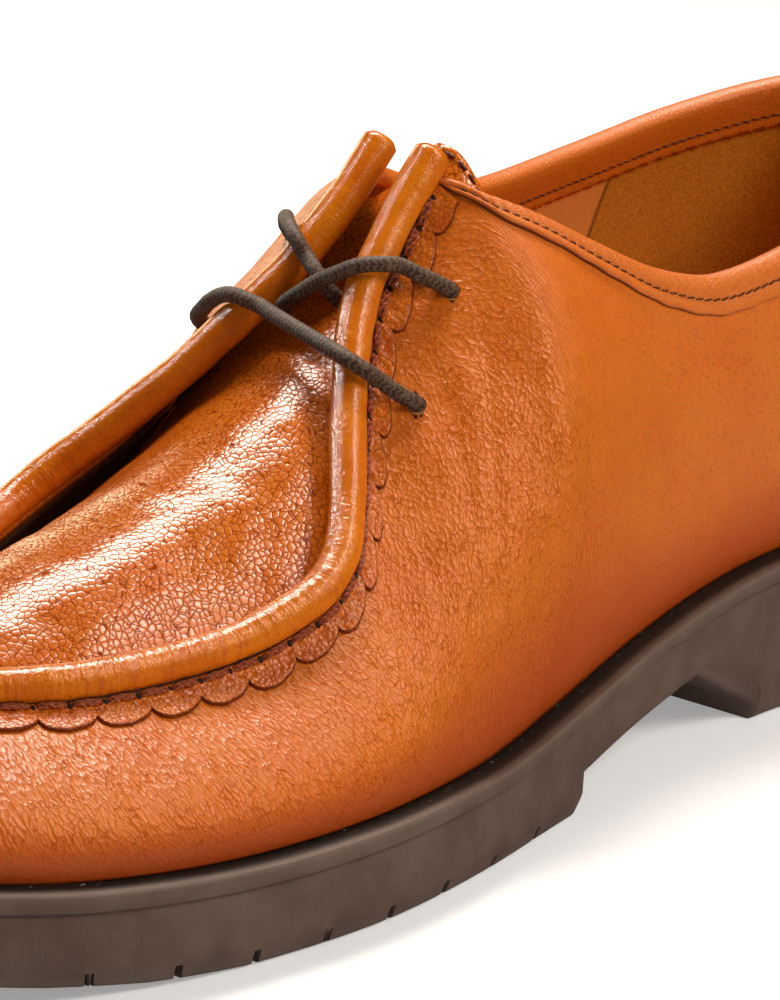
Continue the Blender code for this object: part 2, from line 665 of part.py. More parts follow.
def plate_section(lateral_u, medial_u, crown, edge_row, count):
    """Top line of the apron or tongue across the shoe between its two tucked edges."""
    edges = []
    tops = []
    for lap, extra in ((lateral_u, 0.0), (medial_u, edge_row["deeper"])):
        edges.append(upper_point(lap, below_top(lap, edge_row["tuck"] + extra), -WALL - edge_row["gap"]))
        tops.append(section_points(lap, 1.0))
    middle = 0.5 * (tops[0] + tops[1])
    outward = tops[0][:2] - tops[1][:2]
    middle[:2] += edge_row["lean"] * outward / np.linalg.norm(outward)
    middle[2] += crown
    line = []
    limits = (edge_row["steep"], edge_row["steep"] + DEEPER_STEEPNESS * edge_row["deeper"])
    for edge, flip, limit in ((edges[0], False, limits[0]), (edges[1], True, limits[1])):
        run = math.hypot(middle[0] - edge[0], middle[1] - edge[1])
        climb = math.atan2(middle[2] - edge[2], run)
        steep = min(PLATE_STEEPNESS * climb, math.radians(limit))
        flat = (middle[:2] - edge[:2]) / run
        start = np.array([*(flat * math.cos(steep)), math.sin(steep)])
        end = np.array([*flat, 0.0])
        size = 1.05 * np.linalg.norm(middle - edge)
        t = np.linspace(0.0, 1.0, count)[:, None]
        half = ((1 + 2 * t) * (1 - t) ** 2 * edge + t * (1 - t) ** 2 * size * start
                + t * t * (3 - 2 * t) * middle + t * t * (t - 1) * size * end)
        line.append(half[::-1] if flip else half)
    return np.concatenate([line[0], line[1][1:]])


def apron_lines():
    """Top lines of the apron from the toe up to the tongue's end."""
    stations = np.append(ROLL.column("s"), ROLL_FRONT[0])
    crowns = np.append(ROLL.column("crown"), FRONT_CROWN)
    places = np.append(np.arange(len(stations) - 1.35, 0.2, -0.66), 0.0)
    lines = []
    for place in places:
        s = np.interp(place, np.arange(len(stations)), stations)
        crown = smooth(np.arange(len(stations)), crowns, place)
        laps = (roll_lap(-1, s), roll_lap(1, s))
        edge_row = {name: float(TUCK.at(name, s)) for name in TUCK_COLUMNS[1:]}
        lines.append(plate_section(*laps, float(crown), edge_row, 5))
    last = lines[-1]
    spread = np.abs(np.linspace(-1.0, 1.0, len(last)))[:, None]
    reach = (1 - spread ** 2) * np.array(TONGUE_MIDDLE_REACH) + spread ** 2 * np.array(TONGUE_EDGE_REACH)
    middle_y = last[len(last) // 2, 1]
    for share in TONGUE_STEPS:
        line = last + reach * share
        line[:, 1] -= (line[:, 1] - middle_y) * TONGUE_NARROWING * share
        lines.append(line)
    return np.array(lines)


def surface_normals(grid):
    along = np.gradient(grid, axis=0)
    across = np.gradient(grid, axis=1)
    normal = np.cross(across, along)
    normal /= np.linalg.norm(normal, axis=-1, keepdims=True)
    return normal * np.where(normal[..., 2:] < 0, -1.0, 1.0)


def build_apron():
    grid = apron_lines()
    rows, columns = grid.shape[:2]
    below = grid - PLATE * surface_normals(grid)
    points = np.concatenate([grid.reshape(-1, 3), below.reshape(-1, 3)])
    faces = grid_faces(rows, columns, False, False)
    shift = rows * columns
    faces += [tuple(index + shift for index in face) for face in faces]
    border = list(range(columns)) + [i * columns + columns - 1 for i in range(1, rows)]
    border += [(rows - 1) * columns + j for j in range(columns - 2, -1, -1)]
    border += [i * columns for i in range(rows - 2, 0, -1)]
    for a, b in zip(border, border[1:] + border[:1]):
        faces.append((a, b, b + shift, a + shift))
    return add_object("apron_tongue", points, faces, "leather")


def build_roll():
    path = open_curve(roll_centres(), np.linspace(0.0, 1.0, 76))
    points, faces = tube(path, ROLL_RADIUS, 10, True)
    return add_object("apron_roll", points, faces, "roll")


def throat_edge(distance):
    """Places on the lap at distances along the wall's top edge, from the outer throat round the toe."""
    lap = np.linspace(LATERAL_ROLL_KNOTS[0], MEDIAL_ROLL_KNOTS[0], 900)
    steps = np.linalg.norm(np.diff(section_points(lap, 1.0), axis=0), axis=1)
    length = np.concatenate([[0.0], np.cumsum(steps)])
    return np.interp(distance, length, lap), float(length[-1])


def build_scallops():
    """Strip under the roll with a scalloped lower edge, cut from the upper's own surface."""
    whole = throat_edge(0.0)[1]
    count = int(round((whole - 2 * SCALLOP_START) / SCALLOP_PITCH))
    per_petal = 5
    place = np.linspace(0.0, count, count * per_petal + 1)
    u = throat_edge(SCALLOP_START + (whole - 2 * SCALLOP_START) * place / count)[0]
    petal = np.sqrt(np.clip(1 - (2 * (place % 1.0) - 1) ** 2, 0, 1))
    top = below_top(u, 0.8)
    low = below_top(u, SCALLOP_BAND + SCALLOP_DEPTH * petal)
    outer = GAP + SCALLOP_THICKNESS
    corners = ((top, outer), (low, outer), (low, GAP), (top, GAP))
    rows = [upper_point(u, v, offset) for v, offset in corners]
    columns = len(u)
    faces = grid_faces(4, columns, True, False)
    faces += [tuple(i * columns for i in range(4)), tuple(i * columns + columns - 1 for i in range(4))]
    return add_object("scallop_strip", np.concatenate(rows), faces, "leather")


# Laces
def lace_tube(route, ends, rings):
    """Round tube along a route, with its ends just over the given eyelets."""
    first = [eyelet_place(side, *EYELETS[number], LACE_RADIUS + 0.4) for side, number in ends[:1]]
    last = [eyelet_place(side, *EYELETS[number], LACE_RADIUS + 0.4) for side, number in ends[1:]]
    path = open_curve(np.array(first + list(route) + last), np.linspace(0, 1, rings))
    return tube(path, LACE_RADIUS, 8, False)


def build_lace_bar():
    """Lower bar from eyelet to eyelet over both rolls."""
    return add_object("lace_bar", *lace_tube(LACE_BAR_ROUTE, ((-1, 1), (1, 1)), 28), "cord")


def build_lace_cross():
    """Two runs from the top eyelets, joined where they cross in the throat."""
    first = add_object("lace_cross", *lace_tube(LACE_OVER_ROUTE, ((-1, 0),), 22), "cord")
    second = add_object("lace_cross_half", *lace_tube(LACE_UNDER_ROUTE, ((1, 0),), 20), "cord")
    second.hide_render = True
    second.display_type = "WIRE"
    join = first.modifiers.new("join", "BOOLEAN")
    join.operation = "UNION"
    join.solver = "EXACT"
    join.object = second
    return first


def main():
    for old in list(bpy.data.objects):
        bpy.data.objects.remove(old, do_unlink=True)
    build_sole()
    build_insole()
    build_upper()
    build_apron()
    build_roll()
    build_scallops()
    build_lace_bar()
    build_lace_cross()


main()
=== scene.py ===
"""Looks of a moccasin-toe lace-up shoe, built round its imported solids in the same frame.

Shapes are worked out in shoe millimetres: s runs forward from the heel, y from the outer
(negative) to the inner side, z up from the floor. Every visible piece is made here in fine mesh
from the solids' own tables, with leather, thread, cord and rubber made of shader nodes.
"""
import math

import bpy
import numpy as np
from mathutils import Matrix, Vector

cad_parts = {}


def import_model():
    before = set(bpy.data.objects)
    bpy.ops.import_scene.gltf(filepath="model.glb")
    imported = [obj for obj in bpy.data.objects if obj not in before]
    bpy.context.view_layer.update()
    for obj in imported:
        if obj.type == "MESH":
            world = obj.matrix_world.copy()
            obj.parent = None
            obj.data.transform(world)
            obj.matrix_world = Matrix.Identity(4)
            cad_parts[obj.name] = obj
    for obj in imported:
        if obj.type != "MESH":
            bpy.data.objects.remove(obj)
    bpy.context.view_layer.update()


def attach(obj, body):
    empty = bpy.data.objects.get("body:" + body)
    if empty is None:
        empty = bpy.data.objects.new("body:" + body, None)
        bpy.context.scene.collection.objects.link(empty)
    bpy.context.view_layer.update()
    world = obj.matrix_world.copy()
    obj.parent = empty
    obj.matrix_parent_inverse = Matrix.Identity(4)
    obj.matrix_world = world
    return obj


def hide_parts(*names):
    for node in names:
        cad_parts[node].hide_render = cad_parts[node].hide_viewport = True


# Sizes shared with the solids
SOLE_LENGTH = 300.0
LEDGE = 5.0
GAP = 0.3
WALL = 2.0
ROLL_RADIUS = 3.1
ROLL_LIFT = 1.6
PLATE = 1.6
INSOLE = 2.5
LACE_RADIUS = 1.35
EYELET_RADIUS = 1.6
SECTION_REACH = 0.38
TOE_TIP_Y = 10.0

OUTLINE_ROWS = (
    (3.5, 14.5, 14.5), (14, 26.5, 26.5), (40, 34.5, 34.5), (80, 34.0, 31.5), (112, 37.5, 29.0),
    (142, 43.5, 32.0), (170, 49.5, 40.5), (196, 52.5, 49.0), (220, 51.0, 53.5), (244, 46.0, 53.0),
    (266, 36.5, 47.5), (284, 24.0, 37.5), (295.5, 9.0, 27.5),
)
LIP_ROWS = (
    (0, 31.0), (40, 29.6), (80, 27.0), (95, 25.5), (110, 23.4), (125, 21.1), (140, 18.9),
    (155, 17.0), (170, 16.2), (215, 16.2), (250, 17.6), (280, 21.0), (300, 24.0),
)
UNDERSIDE_ROWS = (
    (0.0, 0.0), (79.4, 0.0), (79.7, 3.0), (97.0, 12.6), (110.0, 10.6), (125.0, 8.2),
    (138.0, 6.0), (138.4, 1.0), (139.6, 0.0), (228.0, 0.0), (245.0, 1.0), (262.0, 2.9),
    (280.0, 5.6), (300.0, 9.2),
)
GROOVE_DEPTH = 3.0
GROOVE_HALF_WIDTH = 0.6
GROOVE_RISER = 0.12
SOLE_SHARP_EDGE = 38
TREAD_GROOVES = [20.0 + 15.0 * i for i in range(4)] + [153.5 + 14.5 * i for i in range(9)]

# Ledge and side of the sole from the inside out and down: inset, share of the wall's height, drop in mm
LEDGE_ROWS = ((14.0, 0.0, 0.0), (LEDGE + 1.5, 0.0, 0.0), (LEDGE - 0.2, 0.0, 0.0), (2.2, 0.0, 0.0))
SIDE_ROWS = (
    (0.9, 0.0, 0.0), (0.35, 0.0, -0.12), (0.08, 0.0, -0.45), (0.0, 0.0, -0.9), (0.0, 0.0, -2.5),
    (0.12, 0.0, -2.8), (0.75, 0.0, -3.05), (0.95, 0.0, -3.4), (0.8, 0.0, -3.8), (0.65, 0.0, -4.2),
    (0.5, 0.35, -1.0), (0.35, 0.6, 0.0), (0.4, 0.85, 0.4), (0.8, 1.0, 2.0), (1.2, 1.0, 1.1),
    (1.7, 1.0, 0.35), (2.4, 1.0, 0.0),
)
# For the same rows: how much painted shadow darkens the ledge under the upper, and how much painted edge
# highlight and wear lighten the rounded edges
LEDGE_SHADE = (0.2, 1.0, 1.0, 0.5) + (0.0,) * len(SIDE_ROWS)
ROUNDED_EDGE = (0, 0, 0, 0, 0.6, 1, 1, 0.4, 0, 0.5, 0, 0, 0, 0, 0, 0, 0, 0.3, 0.8, 0.5, 0)

# Collar: foot station, top point on both sides, inward lean, rise at the ledge
COLLAR_ROWS = (
    (3, 8.6, 7.6, 95.7, 7.6, 95.7, 12, 73), (12, 15.0, 17.0, 94.3, 17.0, 94.6, 13, 75),
    (34, 35.0, 25.3, 89.6, 25.3, 91.2, 15, 78), (60, 61.0, 27.5, 83.0, 27.5, 88.0, 17, 80),
    (88, 86.5, 26.0, 79.4, 25.5, 87.0, 22, 80), (104, 100.0, 22.6, 82.4, 23.0, 88.5, 30, 80),
    (118, 112.0, 18.6, 88.6, 20.5, 92.0, 40, 80), (131, 122.0, 13.9, 94.4, 18.0, 95.8, 50, 80),
    (139, 129.3, 9.2, 98.0, 15.8, 98.8, 58, 80),
)
HEEL_BACK = (7.5, 0.0, 96.0)
HEEL_LEAN = 12
HEEL_RISE = 72

# Roll: station, half width, height, wall lean, foot station, crown of the apron over the edge,
# lean and reach of the inner side's wall
ROLL_ROWS = (
    (135.4, 5.8, 102.1, 62, 146, -8.0, 70, 0.46), (141.4, 6.1, 95.7, 62, 151, -8.0, 74, 0.54),
    (146.6, 7.1, 90.3, 62, 155, -7.2, 77, 0.60), (151.1, 8.1, 85.9, 62, 159, -5.6, 79, 0.63),
    (155.0, 10.1, 81.7, 60, 162, -3.4, 79, 0.64), (160.9, 14.4, 74.9, 56, 167, 0.8, 72, 0.56),
    (165.1, 18.0, 69.4, 53, 171, 4.4, 62, 0.45), (169.4, 22.0, 64.3, 50, 175, 7.4, 54, 0.40),
    (175.9, 28.1, 56.9, 45, 181, 12.0, 46, 0.38), (181.3, 32.1, 51.9, 42, 186, 14.5, 42, 0.38),
    (187.6, 33.9, 47.8, 41, 192, 15.6, 41, 0.38), (194.7, 33.6, 45.0, 41, 199, 16.4, 41, 0.38),
    (204.0, 32.1, 42.4, 43, 210, 16.4, 43, 0.38), (216.0, 30.2, 41.3, 48, 225, 14.6, 48, 0.38),
    (227.0, 28.0, 41.0, 55, 240, 12.0, 55, 0.38), (237.0, 24.6, 41.0, 63, 256, 8.8, 63, 0.38),
    (248.0, 17.6, 41.3, 74, 275, 3.0, 74, 0.38), (255.5, 9.0, 41.8, 82, 291, -1.6, 82, 0.38),
)
ROLL_FRONT = (258.5, 42.0)
ROLL_TOP = (132.6, 5.8, 105.0)
FRONT_LEAN = 85
FRONT_CROWN = -2.4
VAMP_RISE = 78
CENTRE_LINE = ((100.0, 3.0), (150.0, 5.0), (200.0, 7.0), (260.0, 9.0), (300.0, 10.0))

# Apron edge below the wall's top: station, tuck, steepest start, gap to the wall, lean of the crown to the
# outer side, extra tuck on the inner side
TUCK_ROWS = (
    (134.0, 9.6, 30, 1.7, 0.0, 0.0), (143.0, 10.0, 30, 0.9, 0.0, 0.0), (152.0, 10.0, 30, 0.7, 0.0, 0.0),
    (166.0, 6.0, 38, 0.7, 3.5, 3.0), (178.0, 3.4, 45, 0.7, 6.0, 5.5), (216.0, 3.0, 44, 0.7, 5.5, 4.5),
    (237.0, 3.0, 28, 0.7, 2.5, 1.5), (248.0, 2.6, 14, 0.7, 0.0, 0.0), (255.5, 2.2, 3, 0.7, 0.0, 0.0),
    (258.5, 2.0, 1, 0.7, 0.0, 0.0),
)
PLATE_STEEPNESS = 1.35
DEEPER_STEEPNESS = 2.5
TONGUE_MIDDLE_REACH = (-9.5, 0.0, 11.5)
TONGUE_EDGE_REACH = (-9.0, 0.0, -3.6)
TONGUE_NARROWING = 0.24

# Scallops, stitches and eyelets: station on the roll and distance below the edge of each eyelet
SCALLOP_START = 7.8
SCALLOP_PITCH = 9.4
STITCH_PITCH = 6.0
EYELETS = ((144.4, 11.0), (158.5, 11.8))

# Lace: bar over both rolls, the run that crosses on top, the run under it, and their hidden ends
LACE_BAR_ROUTE = (
    (157.6, -16.9, 71.4), (159.4, -15.8, 72.9), (161.1, -14.5, 74.6), (163.2, -13.6, 76.2),
    (164.2, -11.6, 77.4), (164.3, -8.8, 78.2), (163.2, -3.0, 79.0), (162.1, 3.0, 79.8),
    (161.1, 8.0, 80.5), (160.2, 12.8, 81.2), (160.7, 14.8, 81.7), (161.1, 16.9, 82.1),
    (160.8, 19.7, 81.5), (160.1, 22.9, 79.8), (158.4, 26.2, 77.5), (155.8, 29.8, 74.5),
)
LACE_OVER_ROUTE = (
    (143.7, -11.4, 86.8), (145.9, -10.2, 88.1), (148.0, -7.9, 89.5), (150.6, -7.1, 90.1),
    (152.5, -5.7, 90.2), (154.0, -3.8, 89.8), (154.7, -0.8, 88.3), (155.3, 3.5, 86.0),
    (156.0, 6.4, 83.9), (156.3, 8.4, 82.4), (156.4, 10.2, 80.8),
)
LACE_UNDER_ROUTE = (
    (141.2, 23.2, 88.8), (143.8, 21.3, 90.8), (146.4, 18.9, 92.3), (148.6, 16.9, 92.7), (152.7, 10.8, 91.1),
    (152.6, 8.8, 88.9), (153.5, 5.2, 86.4), (152.9, 3.5, 84.2), (151.7, 2.3, 82.5),
)
LACE_OVER_TUCK = ((156.2, 11.0, 79.4), (155.7, 11.6, 78.0))
LACE_UNDER_TUCK = ((150.1, 1.9, 81.1), (148.4, 1.3, 79.8))

# Camera of the photograph, fitted to the shoe
CAMERA_AIM = (0.0, -20.0, 50.0)
CAMERA_AZIMUTH = -49.01771
CAMERA_ELEVATION = 17.42701
CAMERA_ROLL = -1.38835
CAMERA_DISTANCE = 1000.0
CAMERA_SHIFT = (-8.515, 2.361)
CAMERA_SENSOR = 36.0
CAMERA_LENS = CAMERA_SENSOR * 6.09372


# Curves and tables
def cubic(t, start, leave, end, arrive):
    """Cubic from start to end as t goes from 0 to 1, with the given slopes at its ends."""
    return ((1 + 2 * t) * (1 - t) ** 2 * start + t * (1 - t) ** 2 * leave
            + t * t * (3 - 2 * t) * end + t * t * (t - 1) * arrive)


def hermite(knots, values, slopes, where):
    """Cubic curve through values at knots with the given slopes."""
    index = np.clip(np.searchsorted(knots, where, side="right") - 1, 0, len(knots) - 2)
    width = knots[index + 1] - knots[index]
    t = (where - knots[index]) / width
    return cubic(t, values[index], width * slopes[index], values[index + 1], width * slopes[index + 1])


def smooth(knots, values, where):
    """Curve through a table column without overshoot between its rows."""
    knots = np.asarray(knots, float)
    values = np.asarray(values, float)
    step = np.diff(values) / np.diff(knots)
    slopes = np.zeros_like(values)
    same = step[:-1] * step[1:] > 0
    safe = np.where(same, step[:-1] + step[1:], 1.0)
    slopes[1:-1] = np.where(same, 2 * step[:-1] * step[1:] / safe, 0.0)
    slopes[0] = step[0]
    slopes[-1] = step[-1]
    where = np.clip(np.asarray(where, float), knots[0], knots[-1])
    return hermite(knots, values, slopes, where)


def column(rows, number):
    """One column of a table."""
    return np.array(rows, float)[:, number]


def table_at(rows, number, where):
    """Value of a table's column at a place in its first column."""
    return smooth(column(rows, 0), column(rows, number), where)


def unit(vector):
    """The same directions with a length of 1."""
    return vector / np.linalg.norm(vector, axis=-1, keepdims=True)


class RingCurve:
    """Closed smooth curve through rows of values, one lap being `lap` long."""

    def __init__(self, knots, values, lap, gain=None):
        values = np.asarray(values, float)
        if gain is None:
            gain = np.zeros(values.shape[1:])
        self.lap = lap
        self.knots = np.concatenate([knots[-2:] - lap, knots, knots[:3] + lap])
        self.values = np.concatenate([values[-2:] - gain, values, values[:3] + gain])
        rise = self.values[2:] - self.values[:-2]
        run = self.knots[2:] - self.knots[:-2]
        self.slopes = np.zeros_like(self.values)
        self.slopes[1:-1] = rise / run[:, None]

    def at(self, where):
        where = np.mod(np.asarray(where, float), self.lap)
        index = np.clip(np.searchsorted(self.knots, where, side="right") - 1, 1, len(self.knots) - 3)
        width = (self.knots[index + 1] - self.knots[index])[..., None]
        t = (where - self.knots[index])[..., None] / width
        leave, arrive = width * self.slopes[index], width * self.slopes[index + 1]
        return cubic(t, self.values[index], leave, self.values[index + 1], arrive)


def lengths_along(points):
    """Distance of each point from the first one, along the line through all of them."""
    return np.concatenate([[0.0], np.cumsum(np.linalg.norm(np.diff(points, axis=0), axis=1))])


def open_curve(points, where):
    """Smooth open curve through points; where runs from 0 to 1 along its chord length."""
    points = np.asarray(points, float)
    length = lengths_along(points)
    knots = length / length[-1]
    slopes = np.gradient(points, knots, axis=0)
    where = np.asarray(where, float)
    return np.stack([hermite(knots, points[:, k], slopes[:, k], where) for k in range(3)], -1)


def even_path(points, spacing):
    """Points at even spacing along a smooth curve through the given points."""
    fine = open_curve(points, np.linspace(0.0, 1.0, 400))
    length = lengths_along(fine)
    count = max(4, int(round(length[-1] / spacing)))
    where = np.linspace(0.0, length[-1], count + 1)
    return np.stack([np.interp(where, length, fine[:, k]) for k in range(3)], -1)


def ripple(points, size, seed):
    """Gentle unevenness of about -1 to 1 over lengths of about size millimetres."""
    chance = np.random.default_rng(seed)
    total = np.zeros(points.shape[:-1])
    for _ in range(9):
        wave = unit(chance.normal(size=3)) * 2 * math.pi / (size * chance.uniform(0.7, 1.5))
        total += np.sin(points @ wave + chance.uniform(0, 2 * math.pi))
    return total / 3.0


def centre_y(s):
    """Middle line of the apron and throat."""
    return np.interp(s, column(CENTRE_LINE, 0), column(CENTRE_LINE, 1))


class Outline:
    """The sole's outline moved inward by an inset, as one lap: heel, outer side, toe, inner side."""

    def __init__(self, inset):
        s, lateral, medial = np.array(OUTLINE_ROWS, float).T
        outer = list(zip(s, -lateral))
        inner = list(zip(s, medial))
        ring = np.array([(0.0, 0.0)] + outer + [(SOLE_LENGTH, TOE_TIP_Y)] + inner[::-1])
        count = len(ring)
        chords = np.linalg.norm(np.roll(ring, -1, axis=0) - ring, axis=1)
        knots = np.concatenate([[0.0], np.cumsum(chords)])
        curve = RingCurve(knots[:-1], ring, knots[-1])
        dense = curve.at(np.interp(np.arange(count * 40) / 40, np.arange(count + 1), knots))
        tangent = unit(np.roll(dense, -1, axis=0) - np.roll(dense, 1, axis=0))
        self.normals = np.stack([tangent[:, 1], -tangent[:, 0]], 1)
        self.points = dense - inset * self.normals
        steps = np.linalg.norm(np.roll(self.points, -1, axis=0) - self.points, axis=1)
        self.arcs = np.concatenate([[0.0], np.cumsum(steps)[:-1]])
        self.lap = float(steps.sum())
        self.toe = int(np.argmax(self.points[:, 0]))
        self.inset = inset

    def at_arc(self, arc):
        """Points and outward normals at distances along the lap."""
        arc = np.mod(arc, self.lap)
        knots = np.append(self.arcs, self.lap)
        closed = [np.append(each, each[0]) for each in (*self.points.T, *self.normals.T)]
        s, y, across, along = [np.interp(arc, knots, each) for each in closed]
        return np.stack([s, y], -1), unit(np.stack([across, along], -1))

    def inset_station(self, s):
        """Station on this outline for a station on the sole's own outline."""
        return self.inset + np.asarray(s, float) * (1 - 2 * self.inset / SOLE_LENGTH)

    def arc_of(self, side, s):
        """Distance along the lap to a station on one side (-1 outer, +1 inner)."""
        place = self.inset_station(s)
        if side < 0:
            half = slice(0, self.toe + 1)
            return np.interp(place, self.points[half, 0], self.arcs[half])
        back = np.append(self.points[self.toe:, 0], self.points[0, 0])[::-1]
        arcs = np.append(self.arcs[self.toe:], self.lap)[::-1]
        return np.interp(place, back, arcs)

    def pair(self, side, s):
        """Points at stations on one side."""
        return self.at_arc(self.arc_of(side, s))[0]


MID_Y = 0.5 * (Outline(0.0).points[:, 1].min() + Outline(0.0).points[:, 1].max())
FEATHER = Outline(LEDGE)


def world(points):
    """Shoe millimetres to scene metres, with the origin under the middle of the shoe."""
    points = np.asarray(points, float)
    moved = np.stack([SOLE_LENGTH / 2 - points[..., 0], points[..., 1] - MID_Y, points[..., 2]], -1)
    return moved * 0.001


# Upper surface, from the ledge of the sole to the collar, throat and apron edge
def roll_chain(side):
    """Centre points of the roll on one side, from its top end to the middle of the toe."""
    s = np.concatenate([[ROLL_TOP[0]], column(ROLL_ROWS, 0), [ROLL_FRONT[0]]])
    half = np.concatenate([[ROLL_TOP[1]], column(ROLL_ROWS, 1), [0.0]])
    z = np.concatenate([[ROLL_TOP[2]], column(ROLL_ROWS, 2), [ROLL_FRONT[1]]])
    return np.column_stack([s, centre_y(s) + side * half, z])


def roll_centres():
    """Centre points of the whole roll, from the outer top end round the toe to the inner one."""
    return np.concatenate([roll_chain(-1), roll_chain(1)[-2::-1]])


def roll_wall_tops(side):
    """Top points of the wall beside the roll, at each roll row and at the toe's middle."""
    chain = roll_chain(side)
    whole = roll_centres() if side < 0 else roll_centres()[::-1]
    tangents = unit(np.gradient(whole, axis=0)[1:len(chain)])
    leans = np.radians(np.append(column(ROLL_ROWS, 3 if side < 0 else 6), FRONT_LEAN))
    feet = np.append(column(ROLL_ROWS, 4), SOLE_LENGTH)
    reach = math.sqrt((ROLL_RADIUS + GAP + 0.05) ** 2 - ROLL_LIFT ** 2)
    tops = []
    for centre, tangent, lean, foot in zip(chain[1:], tangents, leans, feet):
        outward = np.append(FEATHER.at_arc(FEATHER.arc_of(side, foot))[1], 0.0)
        along = -outward * math.sin(lean) + np.array([0.0, 0.0, math.cos(lean)])
        along = unit(along - tangent * (along @ tangent))
        normal = np.cross(along, tangent)
        facing = outward * math.cos(lean) + np.array([0.0, 0.0, math.sin(lean)])
        normal *= math.copysign(1.0, normal @ facing)
        tops.append(centre - along * reach - normal * ROLL_LIFT)
    return tops


def ring_rows():
    """Sections of the upper in lap order: foot arc, top point, lean, rise and top reach of each."""
    rows = [(0.0, HEEL_BACK, HEEL_LEAN, HEEL_RISE, SECTION_REACH)]
    sides = {}
    for side in (-1, 1):
        made = []
        for foot, s, outer_y, outer_z, inner_y, inner_z, lean, rise in COLLAR_ROWS:
            y, z = (outer_y, outer_z) if side < 0 else (inner_y, inner_z)
            made.append((FEATHER.arc_of(side, foot), (s, side * y, z), lean, rise, SECTION_REACH))
        for row, top in zip(ROLL_ROWS, roll_wall_tops(side)):
            lean, reach = (row[3], SECTION_REACH) if side < 0 else row[6:8]
            made.append((FEATHER.arc_of(side, row[4]), top, lean, VAMP_RISE, reach))
        sides[side] = made
    toe = FEATHER.arc_of(-1, SOLE_LENGTH)
    front = (toe, roll_wall_tops(-1)[-1], FRONT_LEAN, VAMP_RISE, SECTION_REACH)
    return rows + sides[-1] + [front] + sides[1][::-1]


RING = ring_rows()
RING_TOPS = np.array([row[1] for row in RING], float)
RING_FEET = np.array([FEATHER.at_arc(row[0])[0] for row in RING])
RING_STEP = 0.5 * (np.linalg.norm(np.roll(RING_TOPS, -1, axis=0) - RING_TOPS, axis=1)
                   + np.linalg.norm(np.roll(RING_FEET, -1, axis=0) - RING_FEET, axis=1))
RING_KNOTS = np.concatenate([[0.0], np.cumsum(RING_STEP)[:-1]])
RING_LAP = float(RING_STEP.sum())
RING_VALUES = [np.concatenate([[row[0]], row[1], row[2:]]) for row in RING]
SECTION = RingCurve(RING_KNOTS, RING_VALUES, RING_LAP, np.array([FEATHER.lap, 0, 0, 0, 0, 0, 0]))
COLLAR_COUNT = len(COLLAR_ROWS)
ROLL_COUNT = len(ROLL_ROWS)
LATERAL_ROLL_KNOTS = RING_KNOTS[1 + COLLAR_COUNT:1 + COLLAR_COUNT + ROLL_COUNT + 1]
MEDIAL_ROLL_KNOTS = RING_KNOTS[1 + COLLAR_COUNT + ROLL_COUNT:1 + COLLAR_COUNT + 2 * ROLL_COUNT + 1][::-1]
THROAT_START = float(LATERAL_ROLL_KNOTS[0])
THROAT_END = float(MEDIAL_ROLL_KNOTS[0])


def section_points(u, v):
    """Outer surface of the upper: u along the lap, v from the ledge (0) to the top edge (1)."""
    u, v = np.broadcast_arrays(np.asarray(u, float), np.asarray(v, float))
    values = SECTION.at(u)
    foot, outward = FEATHER.at_arc(values[..., 0])
    base = np.concatenate([foot, (table_at(LIP_ROWS, 1, foot[..., 0]) + GAP)[..., None]], -1)
    outward = np.concatenate([outward, np.zeros(u.shape + (1,))], -1)
    top = values[..., 1:4]
    lean = np.radians(values[..., 4])[..., None]
    rise = np.radians(values[..., 5])[..., None]
    upward = np.array([0.0, 0.0, 1.0])
    chord = np.linalg.norm(top - base, axis=-1, keepdims=True)
    low = base + SECTION_REACH * chord * (outward * np.cos(rise) + upward * np.sin(rise))
    high = top - values[..., 6:7] * chord * (upward * np.cos(lean) - outward * np.sin(lean))
    v = v[..., None]
    return ((1 - v) ** 3 * base + 3 * v * (1 - v) ** 2 * low + 3 * v * v * (1 - v) * high + v ** 3 * top)


def surface_frame(u, v):
    """Point, outward normal and upward direction of the upper's outer surface."""
    along = section_points(u + 0.6, v) - section_points(u - 0.6, v)
    upward = section_points(u, np.clip(v + 0.01, 0, 1)) - section_points(u, np.clip(v - 0.01, 0, 1))
    return section_points(u, v), unit(np.cross(along, upward)), unit(upward)


# Lookup of the distance below the top edge, one row per place on the lap
LAP_GRID = np.linspace(0.0, RING_LAP, 801)
SHARE_GRID = np.linspace(0.0, 1.0, 81)
SECTION_GRID = section_points(LAP_GRID[:, None], SHARE_GRID[None, :])
SECTION_STEPS = np.linalg.norm(np.diff(SECTION_GRID, axis=1), axis=-1)
SECTION_FALL = np.concatenate([np.cumsum(SECTION_STEPS[:, ::-1], axis=1)[:, ::-1], np.zeros((801, 1))], 1)
FALL_GRID = np.linspace(0.0, 130.0, 521)
SHARE_AT_FALL = np.array([np.interp(FALL_GRID, row[::-1], SHARE_GRID[::-1]) for row in SECTION_FALL])


def from_grid(grid, rows, columns, row, place):
    """Value of a lookup grid between its rows and columns."""
    i = np.clip((row - rows[0]) / (rows[1] - rows[0]), 0, len(rows) - 1.001)
    j = np.clip((place - columns[0]) / (columns[1] - columns[0]), 0, len(columns) - 1.001)
    a, b = i.astype(int), j.astype(int)
    p, q = i - a, j - b
    return ((1 - p) * ((1 - q) * grid[a, b] + q * grid[a, b + 1])
            + p * ((1 - q) * grid[a + 1, b] + q * grid[a + 1, b + 1]))


def below_top(u, distance):
    """Section parameter v at a distance below the top edge, measured along the surface."""
    u, distance = np.broadcast_arrays(np.asarray(u, float), np.asarray(distance, float))
    return from_grid(SHARE_AT_FALL, LAP_GRID, FALL_GRID, np.mod(u, RING_LAP), distance)


def fall_at(u, v):
    """Distance below the top edge at a section parameter v."""
    u, v = np.broadcast_arrays(np.asarray(u, float), np.asarray(v, float))
    return from_grid(SECTION_FALL, LAP_GRID, SHARE_GRID, np.mod(u, RING_LAP), v)


